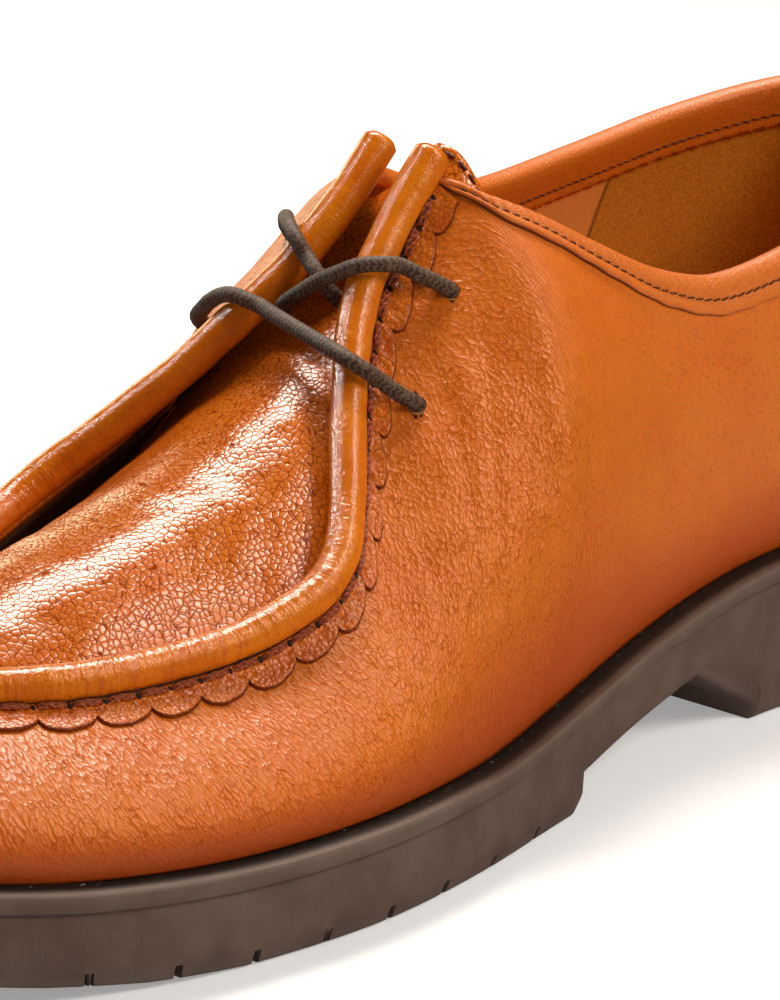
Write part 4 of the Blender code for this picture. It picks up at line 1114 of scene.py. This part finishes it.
def make_lining(finish):
    """Lining inside the wall, from the insole to the binding, under the apron's edge in the throat."""
    u = np.linspace(0.0, RING_LAP, 360, endpoint=False)
    depth = edge_depth(u)
    top = np.where(depth > 0, below_top(u, depth + 1.5 * np.clip(depth, 0, 1)), LINING_TOP)
    top = np.minimum(top, LINING_TOP)
    climb = np.linspace(0.0, 1.0, 44)
    rows = []
    for offset, order in zip(LINING_FACES, (climb, climb[::-1])):
        grid_u, grid_climb = np.meshgrid(u, order)
        point, normal, _ = surface_frame(grid_u, 0.02 + (top - 0.02) * grid_climb)
        rows.append(point + normal * offset)
    points = np.concatenate([row.reshape(-1, 3) for row in rows])
    faces = open_eyelets(points, grid_faces(2 * len(climb), len(u), True, True))
    pile = Pile()
    pile.add(points, faces, station=points[:, 0] + LINING_SEAM_SLANT * (points[:, 2] - LINING_SEAM_HEIGHT))
    return pile.piece("lining", finish)


# Eyelet edge, round from the outer face to the inner one: step out from the hole's radius, height
EYELET_PROFILE = (
    (0.16, -0.1), (0.12, 0.03), (0.0, 0.1), (-0.22, 0.06), (-0.3, -0.3), (-0.1, -1.9), (0.25, -1.9),
)


def make_eyelet_rims(finish):
    """Raw cut edge of each punched lace hole, a little frayed on the side away from the roll."""
    turn = np.linspace(0, 2 * math.pi, 40, endpoint=False)
    chance = np.random.default_rng(51)
    pile = Pile()
    for eyelet in all_eyelets():
        middle, normal = eyelet_axis(*eyelet)
        down = unit(shell_point(roll_lap(*eyelet[:2]), eyelet[2] + 1.0, 0.0) - middle)
        side = np.cross(normal, down)
        fray = np.clip(0.35 + 0.65 * np.cos(turn - 0.5), 0, 1) * chance.uniform(0.5, 1.1, len(turn))
        rings = []
        for out, high in EYELET_PROFILE:
            size = EYELET_RADIUS + out * (0.3 + fray)
            ring = size[:, None] * (np.outer(np.cos(turn), down) + np.outer(np.sin(turn), side))
            rings.append(middle + ring + normal * high)
        pile.add(np.concatenate(rings), grid_faces(len(rings), len(turn), True, True))
    return pile.piece("eyelet_edges", finish)


# Collar binding and its stitches
# Profile of the binding: distance below the collar's top edge, distance out from the wall
BINDING_PROFILE = (
    (6.3, 0.02), (6.42, 0.45), (6.3, 0.9), (5.8, 1.15), (5.0, 1.12), (4.3, 0.95), (3.8, 0.74), (3.3, 1.0),
    (2.4, 1.3), (1.2, 1.35), (0.3, 1.15), (-0.5, 0.6), (-0.85, -0.2), (-0.92, -1.0), (-0.85, -1.8),
    (-0.5, -2.5), (0.3, -2.95), (1.6, -3.05), (4.5, -2.98), (5.6, -2.78), (6.8, -2.95), (7.6, -2.85),
    (8.1, -2.7), (8.2, -2.3), (8.0, -2.03), (4.0, -2.02), (0.0, -2.0), (0.0, 0.0), (3.0, 0.01),
)
PUCKER = 0.09
PUCKER_PITCH = 2.1
BINDING_OVERLAP = 0.4
BINDING_TIP = 6.5
COLLAR_STITCH_PITCH = 1.95
COLLAR_STITCH_ROWS = ((3.8, 0.74), (5.6, -2.78))
COLLAR_THREAD_RADIUS = 0.17


def binding_laps(count):
    """Places along the collar, from one end of the throat round the heel to the other."""
    return np.linspace(THROAT_END - BINDING_OVERLAP, RING_LAP + THROAT_START + BINDING_OVERLAP, count)


def binding_taper(u):
    """Full width on the collar, running out to a rounded tip at both ends of the throat."""
    left = np.minimum(u - THROAT_END, RING_LAP + THROAT_START - u) + BINDING_OVERLAP
    return 0.12 + 0.88 * np.sqrt(np.clip(1 - (1 - np.clip(left / BINDING_TIP, 0, 1)) ** 2, 0, 1))


def make_binding(finish):
    """Folded binding over the collar's top edge: puckered outside, raw and frayed inside."""
    u = binding_laps(900)
    taper = binding_taper(u)
    fray = 0.16 * np.sin(u * 1.7) + 0.14 * np.sin(u * 3.9 + 1.0) + 0.12 * np.sin(u * 6.1 + 2.0)
    pucker = np.sin(2 * math.pi * u / PUCKER_PITCH + 1.5 * np.sin(u * 0.23)) * (0.6 + 0.4 * np.sin(u * 0.31))
    rows = []
    falls = []
    for below, offset in BINDING_PROFILE:
        depth = below * np.where(below > 0, taper, 1.0)
        uneven = fray if below > 7.2 else 0.1 * np.sin(u * 0.9) * (below > 6)
        lift = PUCKER * pucker * taper * math.exp(-((below - 1.6) / 1.5) ** 2) * (offset > 0)
        rows.append(shell_point(u, depth + uneven, offset + lift))
        falls.append(np.full_like(u, below))
    # Raw marks: a little on the inner raw edge, fully on the lower outer edge, where they paint a shadow line
    # under the band.
    edges = [0.35 * (below > 7.2 and offset < 0) + (below > 6.25 and 0 < offset < 0.5)
             for below, offset in BINDING_PROFILE]
    pile = Pile()
    pile.add(np.concatenate(rows), strip_faces(len(rows), len(u)), lap=np.tile(u, len(rows)),
             fall=np.concatenate(falls), raw=np.repeat(edges, len(u)))
    return pile.piece("collar_binding", finish)


def add_stitch(pile, path, radius, sides):
    """One short thread over the leather, sunk at both ends."""
    t = np.linspace(-1, 1, len(path))
    rings, along, around = tube_rings(path, radius * (0.55 + 0.45 * (1 - t ** 4)), sides)
    pile.add(rings, tube_faces(len(path), sides), along=along, around=around)


def make_collar_stitches(finish):
    """Fine stitches along the binding, outside and inside the collar."""
    pile = Pile()
    u = binding_laps(6000)
    pitch = COLLAR_STITCH_PITCH
    t = np.linspace(-1, 1, 7)
    for below, face in COLLAR_STITCH_ROWS:
        line = shell_point(u, below * binding_taper(u), np.full_like(u, face))
        length = lengths_along(line)
        for number in range(int((length[-1] - 6.0) / pitch)):
            start = 3.0 + number * pitch
            places = np.interp(start + pitch * (0.5 + 0.5 * t), length, u)
            rise = face + math.copysign(0.18, face) * np.sqrt(1 - t ** 2)
            path = shell_point(places, below * binding_taper(places) + 0.2 * t, rise)
            add_stitch(pile, path, COLLAR_THREAD_RADIUS, 6)
    return pile.piece("collar_stitches", finish)


# Apron and tongue
def plate_section(laps, crown, edge_row, count):
    """Top line of the apron or tongue across the shoe between its two tucked edges."""
    laps = np.array(laps, float)
    tuck, steep_limit, gap, lean, deeper = edge_row
    edges = shell_point(laps, np.array([tuck, tuck + deeper]), np.full(2, -WALL - gap))
    tops = section_points(laps, 1.0)
    middle = tops.mean(axis=0)
    middle[:2] += lean * unit(tops[0, :2] - tops[1, :2])
    middle[2] += crown
    line = []
    limits = (steep_limit, steep_limit + DEEPER_STEEPNESS * deeper)
    for edge, flip, limit in ((edges[0], False, limits[0]), (edges[1], True, limits[1])):
        run = math.hypot(middle[0] - edge[0], middle[1] - edge[1])
        climb = math.atan2(middle[2] - edge[2], run)
        steep = min(PLATE_STEEPNESS * climb, math.radians(limit))
        flat = (middle[:2] - edge[:2]) / run
        start = np.array([*(flat * math.cos(steep)), math.sin(steep)])
        end = np.array([*flat, 0.0])
        size = 1.05 * np.linalg.norm(middle - edge)
        t = np.linspace(0.0, 1.0, count)[:, None]
        half = cubic(t, edge, size * start, middle, size * end)
        line.append(half[::-1] if flip else half)
    return np.concatenate([line[0], line[1][1:]])


def apron_lines(spacing, count, tongue_steps):
    """Top lines of the apron from the toe up to the tongue's end."""
    stations = np.append(column(ROLL_ROWS, 0), ROLL_FRONT[0])
    crowns = np.append(column(ROLL_ROWS, 5), FRONT_CROWN)
    rows = np.arange(len(stations))
    lines = []
    for place in np.append(np.arange(len(stations) - 1.35, 0.3 * spacing, -spacing), 0.0):
        s = float(np.interp(place, rows, stations))
        crown = float(smooth(rows, crowns, place))
        laps = (roll_lap(-1, s), roll_lap(1, s))
        edge_row = [float(table_at(TUCK_ROWS, number, s)) for number in range(1, 6)]
        lines.append(plate_section(laps, crown, edge_row, count))
    last = lines[-1]
    spread = np.abs(np.linspace(-1.0, 1.0, len(last)))[:, None]
    reach = (1 - spread ** 2) * np.array(TONGUE_MIDDLE_REACH) + spread ** 2 * np.array(TONGUE_EDGE_REACH)
    middle_y = last[len(last) // 2, 1]
    for share in tongue_steps:
        line = last + reach * share
        line[:, 1] -= (line[:, 1] - middle_y) * TONGUE_NARROWING * share
        lines.append(line)
    return np.array(lines)


def surface_normals(grid):
    """Upward normals of a grid of points."""
    normal = unit(np.cross(np.gradient(grid, axis=1), np.gradient(grid, axis=0)))
    return normal * np.where(normal[..., 2:] < 0, -1.0, 1.0)


def closed_plate(top, low):
    """Points and faces of a plate between two grids of the same size."""
    rows, columns = top.shape[:2]
    points = np.concatenate([top.reshape(-1, 3), low.reshape(-1, 3)])
    upper = grid_faces(rows, columns)
    shift = rows * columns
    faces = list(upper) + list(upper[:, ::-1] + shift)
    border = list(range(columns)) + [i * columns + columns - 1 for i in range(1, rows)]
    border += [(rows - 1) * columns + j for j in range(columns - 2, -1, -1)]
    border += [i * columns for i in range(rows - 2, 0, -1)]
    for a, b in zip(border, border[1:] + border[:1]):
        faces.append((b, a, a + shift, b + shift))
    return points, faces


def make_apron(finish):
    """Apron and tongue in one piece of pebbled leather, softly uneven like a stuffed plug."""
    grid = apron_lines(0.11, 30, np.linspace(0.06, 1.0, 16))
    normals = surface_normals(grid)
    spread = np.linspace(-1.0, 1.0, grid.shape[1])
    quiet = np.clip((1 - np.abs(spread)) / 0.3, 0, 1)
    top = grid + normals * (quiet * (0.22 * ripple(grid, 16.0, 11) + 0.1 * ripple(grid, 7.0, 12)))[..., None]
    end = np.ones(len(grid))
    end[-3:] = (0.85, 0.6, 0.3)
    low = grid - normals * (PLATE * end)[:, None, None]
    points, faces = closed_plate(top, low)
    pile = Pile()
    pile.add(points, faces)
    return pile.piece("apron_and_tongue", finish, ["apron_tongue"])


def make_turned_edge(finish):
    """Apron leather turned up inside the wall to the roll: the dark groove beside the apron, its near-black
    colour painted shade.
    """
    distance = np.linspace(1.0, THROAT_LENGTH - 1.0, 460)
    laps = np.interp(distance, THROAT_LENGTHS, THROAT_LAPS)
    depth = edge_depth(laps)
    rows = []
    for offsets, order in (((-0.55, -0.35), 1), ((-0.1, -0.1), -1)):
        for share in np.linspace(1.0, 0.0, 7)[::order]:
            offset = -WALL + offsets[0] * share + offsets[1] * (1 - share)
            rows.append(shell_point(laps, (depth + 0.9) * share + 0.05, np.full_like(laps, offset)))
    pile = Pile()
    pile.add(np.concatenate(rows), strip_faces(len(rows), len(laps)))
    return pile.piece("apron_turned_edge", finish)


def make_tongue_stitches(finish):
    """Row of stitches just inside the tongue's top edge."""
    grid = apron_lines(0.3, 30, np.linspace(0.06, 1.0, 40))
    normals = surface_normals(grid)
    pile = Pile()
    line = grid[-5] + normals[-5] * 0.12
    path = even_path(line[4:-4], 0.35)
    for start in range(0, len(path) - 8, 8):
        add_stitch(pile, path[start:start + 7], 0.26, 6)
    return pile.piece("tongue_stitches", finish)


# Roll, its seam and the scalloped strip
# Strength of the roll's cross wrinkles by station
ROLL_BEND = ((150.0, 172.0, 186.0, 205.0, 240.0), (0.15, 0.3, 0.8, 1.0, 0.8))
ROLL_SIDES = 32


def make_roll(finish):
    """Rolled edge of the seam in one stuffed tube, cut square at both top ends."""
    path = even_path(roll_centres(), 0.8)
    count = len(path)
    uneven = 0.07 * ripple(path, 22.0, 21) + 0.05 * ripple(path, 6.0, 22)
    ends = np.minimum(np.arange(count), np.arange(count)[::-1])
    bevel = np.sqrt(1 - (1 - np.clip((ends + 0.5) / 1.5, 0, 1)) ** 2)
    rings, along, around = tube_rings(path, (ROLL_RADIUS + uneven) * bevel, ROLL_SIDES)
    bend = np.interp(np.repeat(path[:, 0], ROLL_SIDES), *ROLL_BEND)
    pile = Pile()
    pile.add(rings, tube_faces(count, ROLL_SIDES), along=along, turn_x=np.cos(around), turn_y=np.sin(around),
             bend=bend)
    return pile.piece("apron_roll_leather", finish, ["apron_roll"])


def make_seam_core(finish):
    """Turned-in edge between the wall's top and the roll, seen only as shadow."""
    distance = np.linspace(0.5, THROAT_LENGTH - 0.5, 420)
    edge = edge_point(distance, 0.0, 0.2)
    path = edge_point(distance, -1.3, 0.0)
    rings, along, around = tube_rings(0.5 * (edge + path), 0.95, 12)
    pile = Pile()
    pile.add(rings, tube_faces(len(path), 12), along=along, around=around)
    return pile.piece("seam_core", finish)


# Scalloped strip: depth of its notches, and its profile from the seam out as share of depth, lift
PETAL_NOTCH = 3.4
PETAL_ROWS = (
    (0.0, 0.0), (0.02, 0.42), (0.12, 0.60), (0.25, 0.66), (0.38, 0.62), (0.50, 0.56), (0.62, 0.54),
    (0.74, 0.54), (0.84, 0.55), (0.91, 0.54), (0.95, 0.50), (0.98, 0.40), (1.0, 0.22), (1.0, -0.25),
)


def scallop_centres():
    """Middles of the petals along the wall's top edge, and the distance between them."""
    count = int(round((THROAT_LENGTH - 2 * SCALLOP_START) / SCALLOP_PITCH))
    pitch = (THROAT_LENGTH - 2 * SCALLOP_START) / count
    return SCALLOP_START + pitch * (np.arange(-1, count + 1) + 0.5), pitch


def make_scallops(finish):
    """Strip with a petal edge, one piece all along the seam, lying on the wall's surface."""
    centres, pitch = scallop_centres()
    chance = np.random.default_rng(31)
    arc = np.linspace(-0.5 * math.pi, 0.5 * math.pi, 25)[:-1]
    distance, depth, curl = [], [], []
    for number, centre in enumerate(centres):
        tip = PETAL_NOTCH + chance.uniform(2.3, 2.9)
        if number in (0, len(centres) - 1):
            tip -= 0.5
        lean = 0.25 * np.sign(0.5 * THROAT_LENGTH - centre)
        bulge = np.cos(arc) * (1 + lean * np.sin(arc))
        distance.append(centre + 0.5 * pitch * np.sin(arc))
        depth.append(PETAL_NOTCH + (tip - PETAL_NOTCH) * bulge)
        curl.append(np.full(len(arc), chance.uniform(0.02, 0.3)) * np.cos(arc))
    distance, depth, curl = (np.concatenate(part) for part in (distance, depth, curl))
    inside = (distance > 0.5) & (distance < THROAT_LENGTH - 0.5)
    distance, depth, curl = distance[inside], depth[inside], curl[inside]
    depth = depth + 0.10 * np.sin(distance * 3.1) * np.sin(distance * 1.3 + 0.5)
    crumple = 0.16 * np.sin(distance * 1.9 + 1.2 * np.sin(distance * 0.37)) * np.sin(distance * 0.71)
    rows, rims = [], []
    for share, lift in PETAL_ROWS:
        below = -0.3 + (depth + 0.3) * share
        offset = lift + crumple * (0.1 < share < 0.7) + curl * share ** 3 * (lift > 0)
        rows.append(edge_point(distance, below, offset))
        rims.append(1.0 - np.clip((1.0 - share) * depth / 4.0, 0.0, 1.0))
    pile = Pile()
    pile.add(np.concatenate(rows), grid_faces(len(rows), len(distance)), rim=np.concatenate(rims))
    return pile.piece("scallop_petals", finish, ["scallop_strip"])


def stitch_places():
    """Starts of the seam's stitches along the wall's top edge, and the distance between them."""
    count = int(round((THROAT_LENGTH - 6.0) / STITCH_PITCH))
    pitch = (THROAT_LENGTH - 6.0) / count
    return 3.0 + pitch * np.arange(count), pitch


def make_seam_stitches(finish):
    """Hand-sewn stitches along the roll: three twisted strands from needle hole to needle hole."""
    starts, pitch = stitch_places()
    chance = np.random.default_rng(41)
    t = np.linspace(0.0, 1.0, 17)
    bow = np.sqrt(np.clip(1 - (2 * t - 1) ** 4, 0, 1))
    pile = Pile()
    for start in starts:
        lean = chance.uniform(-0.3, 0.3)
        loose = 1.0 if min(start, THROAT_LENGTH - start) < 22.0 else 0.7
        for strand in range(3):
            phase = 2 * math.pi * (strand / 3.0 + 0.8 * t + chance.uniform(-0.06, 0.06))
            wide = 0.55 * loose * (0.3 + 0.7 * bow)
            distance = start + 0.45 + (pitch - 0.9) * t
            below = 0.95 + lean * (t - 0.5) + wide * np.cos(phase)
            offset = 0.35 + 0.95 * loose * bow + 0.5 * wide * np.sin(phase)
            add_stitch(pile, edge_point(distance, below, offset), 0.26 + 0.08 * loose, 9)
    return pile.piece("seam_stitches", finish)


# Half sizes of a needle hole along and across the seam
NEEDLE_HOLE = (0.42, 0.6)


def make_needle_holes(finish):
    """Needle holes between the seam's stitches, as small dark caps whose colour is painted shade of the
    pulled-in holes.
    """
    starts, pitch = stitch_places()
    turn = np.linspace(0, 2 * math.pi, 16, endpoint=False)
    pile = Pile()
    for start in np.append(starts, starts[-1] + pitch):
        rows = []
        for size, offset in ((0.05, 0.80), (0.6, 0.80), (1.0, 0.72), (1.1, 0.3)):
            along = start + NEEDLE_HOLE[0] * size * np.cos(turn)
            rows.append(edge_point(along, 1.0 + NEEDLE_HOLE[1] * size * np.sin(turn), offset))
        pile.add(np.concatenate(rows), grid_faces(len(rows), len(turn), False, True))
    return pile.piece("needle_holes", finish)


# Laces
LACE_COLUMNS = 12
LACE_STRAND_PITCH = 1.0
LACE_SIDES = 60
LACE_STEP = 0.14


def eyelet_path(side, number):
    """Lace points from inside an eyelet out through it."""
    middle, normal = eyelet_axis(side, *EYELETS[number])
    return [middle - normal * 4.2, middle - normal * 2.2, middle - normal * 0.3]


def add_lace(pile, points):
    """Round braid along a path: columns of slanting strands that meet in small arrows."""
    path = even_path(np.array(points), LACE_STEP)
    rings, along, around = tube_rings(path, 1.0, LACE_SIDES)
    centre = np.repeat(path, LACE_SIDES, axis=0)
    column_place = around * LACE_COLUMNS / (2 * math.pi) + 0.22 * np.sin(along * 0.9)
    number = np.floor(column_place)
    share = column_place - number
    slant = np.where(number % 2 < 1, 1.0, -1.0)
    drift = 0.5 * np.sin(along * 1.7 + number * 2.3) + 0.35 * np.sin(along * 4.1 + number * 1.1)
    turn = 2 * math.pi * along / LACE_STRAND_PITCH + slant * 3.4 * (share - 0.5) + drift
    strand = (0.5 + 0.5 * np.cos(turn)) * np.abs(np.sin(math.pi * share)) ** 0.35
    radius = LACE_RADIUS - 0.05 + 0.09 * strand
    flat = centre + (rings.reshape(-1, 3) - centre) * radius[:, None]
    pile.add(flat, tube_faces(len(path), LACE_SIDES), along=along, around=around, weave=strand)


def make_laces(finish):
    """Lower bar over both rolls, and two runs that cross in the throat, one cord in three runs."""
    bar = Pile()
    add_lace(bar, eyelet_path(-1, 1) + list(LACE_BAR_ROUTE) + eyelet_path(1, 1)[::-1])
    bar.piece("lace_lower_bar", finish, ["lace_bar"])
    cross = Pile()
    add_lace(cross, eyelet_path(-1, 0) + list(LACE_OVER_ROUTE + LACE_OVER_TUCK))
    add_lace(cross, eyelet_path(1, 0) + list(LACE_UNDER_ROUTE + LACE_UNDER_TUCK))
    cross.piece("lace_crossing", finish, ["lace_cross"])


# Studio
def make_camera():
    """Camera at the photograph's angle and framing."""
    azimuth, elevation, roll = [math.radians(a) for a in (CAMERA_AZIMUTH, CAMERA_ELEVATION, CAMERA_ROLL)]
    back = np.array([math.sin(azimuth) * math.cos(elevation), -math.cos(azimuth) * math.cos(elevation),
                     math.sin(elevation)])
    right = np.array([math.cos(azimuth), math.sin(azimuth), 0.0])
    up = np.cross(back, right)
    across = right * math.cos(roll) - up * math.sin(roll)
    upward = right * math.sin(roll) + up * math.cos(roll)
    aim = np.array(CAMERA_AIM) - np.array([0.0, MID_Y, 0.0])
    place = aim + back * CAMERA_DISTANCE + across * CAMERA_SHIFT[0] + upward * CAMERA_SHIFT[1]
    lens = bpy.data.cameras.new("camera")
    lens.sensor_width = CAMERA_SENSOR
    lens.lens = CAMERA_LENS
    lens.clip_start = 0.05
    lens.clip_end = 50.0
    camera = bpy.data.objects.new("camera", lens)
    turn = Matrix([list(row) for row in np.column_stack([across, upward, back])])
    camera.matrix_world = Matrix.Translation(Vector(place * 0.001)) @ turn.to_4x4()
    bpy.context.collection.objects.link(camera)
    bpy.context.scene.camera = camera


# Lights: name, place, width, height, power, colour. Softboxes light the shoe without showing in its gloss.
# Sheens show in its gloss alone.
LIGHT_AIM = (0.0, 0.0, 0.06)
WARM_LIGHT = (1.0, 0.78, 0.50)
PALE_LIGHT = (1.0, 0.94, 0.84)
SOFTBOXES = (
    ("key_softbox", (0.15, 0.24, 0.80), 0.36, 0.26, 6.6, (1.0, 0.94, 0.85)),
    ("side_softbox", (0.30, -0.95, 0.88), 0.50, 0.50, 9.2, (1.0, 0.96, 0.90)),
    ("fill_softbox", (-0.75, -0.85, 0.80), 0.90, 0.90, 1.0, (1.0, 1.0, 1.0)),
)
SHEENS = (
    ("top_sheen", (0.26, 0.325, 0.83), 0.60, 0.28, 15.0, PALE_LIGHT),
    ("low_sheen", (0.29, -0.42, 0.80), 0.16, 0.14, 1.9, PALE_LIGHT),
    ("toe_sheen", (0.50, 0.00, 0.76), 0.26, 0.26, 1.1, WARM_LIGHT),
    ("side_sheen", (0.24, -0.71, 0.64), 0.60, 0.50, 3.2, WARM_LIGHT),
    ("quarter_sheen", (0.43, -0.74, 0.40), 0.50, 0.50, 0.8, WARM_LIGHT),
    ("roll_sheen_top", (-0.43, 0.43, 0.72), 0.06, 0.06, 2.4, PALE_LIGHT),
    ("roll_sheen_middle", (-0.36, 0.71, 0.56), 0.06, 0.06, 2.4, PALE_LIGHT),
    ("roll_sheen_low", (-0.16, 0.90, 0.34), 0.06, 0.06, 2.4, PALE_LIGHT),
    ("rim_sheen", (0.32, 0.85, 0.22), 0.40, 0.26, 2.0, WARM_LIGHT),
)
SURROUND_STRENGTH = 0.08
FLOOR_REACH = 3.0
FLOOR_DROP = 0.00005


def softbox(name, place, width, height, power, colour):
    """Rectangular light that faces the shoe and stays out of the picture."""
    light = bpy.data.lights.new(name, "AREA")
    light.shape = "RECTANGLE"
    light.size = width
    light.size_y = height
    light.energy = power
    light.color = colour
    lamp = bpy.data.objects.new(name, light)
    lamp.location = place
    lamp.rotation_mode = "QUATERNION"
    lamp.rotation_quaternion = (Vector(LIGHT_AIM) - Vector(place)).to_track_quat("-Z", "Y")
    lamp.visible_camera = False
    bpy.context.collection.objects.link(lamp)
    return lamp


def make_floor():
    """Plain pale floor, just under the sole."""
    place = np.linspace(-FLOOR_REACH, FLOOR_REACH, 5)
    points = [(x, y, -FLOOR_DROP) for x in place for y in place]
    mesh = bpy.data.meshes.new("studio_floor")
    mesh.from_pydata(points, [], grid_faces(5, 5).tolist())
    mesh.materials.append(studio_floor())
    sheet = bpy.data.objects.new("studio_floor", mesh)
    sheet.visible_glossy = False
    bpy.context.collection.objects.link(sheet)


def make_studio():
    """Soft light, gloss and floor."""
    scene = bpy.context.scene
    scene.view_settings.view_transform = "Standard"
    surround = bpy.data.worlds.new("surround")
    surround.use_nodes = True
    sky = surround.node_tree.nodes["Background"].inputs
    sky["Color"].default_value = (1.0, 1.0, 1.0, 1.0)
    sky["Strength"].default_value = SURROUND_STRENGTH
    scene.world = surround
    surround.cycles_visibility.glossy = False
    for row in SOFTBOXES:
        softbox(*row).visible_glossy = False
    for row in SHEENS:
        softbox(*row).visible_diffuse = False
    make_floor()


def main():
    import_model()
    make_camera()
    make_laces(lace_braid())
    make_sole(sole_rubber())
    lining = lining_leather()
    make_insole(lining)
    make_lining(lining)
    make_upper(vamp_leather())
    make_eyelet_rims(raw_edge_and_shade("eyelet_edge", tint(190, 130, 78), tint(146, 78, 34)))
    make_binding(binding_leather())
    dark_thread = thread("collar_thread", tint(120, 52, 20), tint(66, 26, 12))
    make_collar_stitches(dark_thread)
    make_apron(pebbled_leather("apron_leather", 1.15, 0.18))
    make_tongue_stitches(dark_thread)
    # Near-black colours: painted shade in the groove under the roll.
    make_turned_edge(raw_edge_and_shade("turned_edge", tint(64, 20, 8), tint(36, 11, 5)))
    make_roll(roll_leather())
    make_seam_core(raw_edge_and_shade("seam_shadow", DARK_BROWN, tint(80, 38, 20)))
    make_scallops(strip_leather())
    make_seam_stitches(thread("seam_thread", tint(186, 90, 46), tint(118, 42, 16)))
    # Dark colours: painted shade of the needle holes.
    make_needle_holes(raw_edge_and_shade("needle_hole", tint(46, 20, 10), tint(30, 14, 8)))
    make_studio()


main()
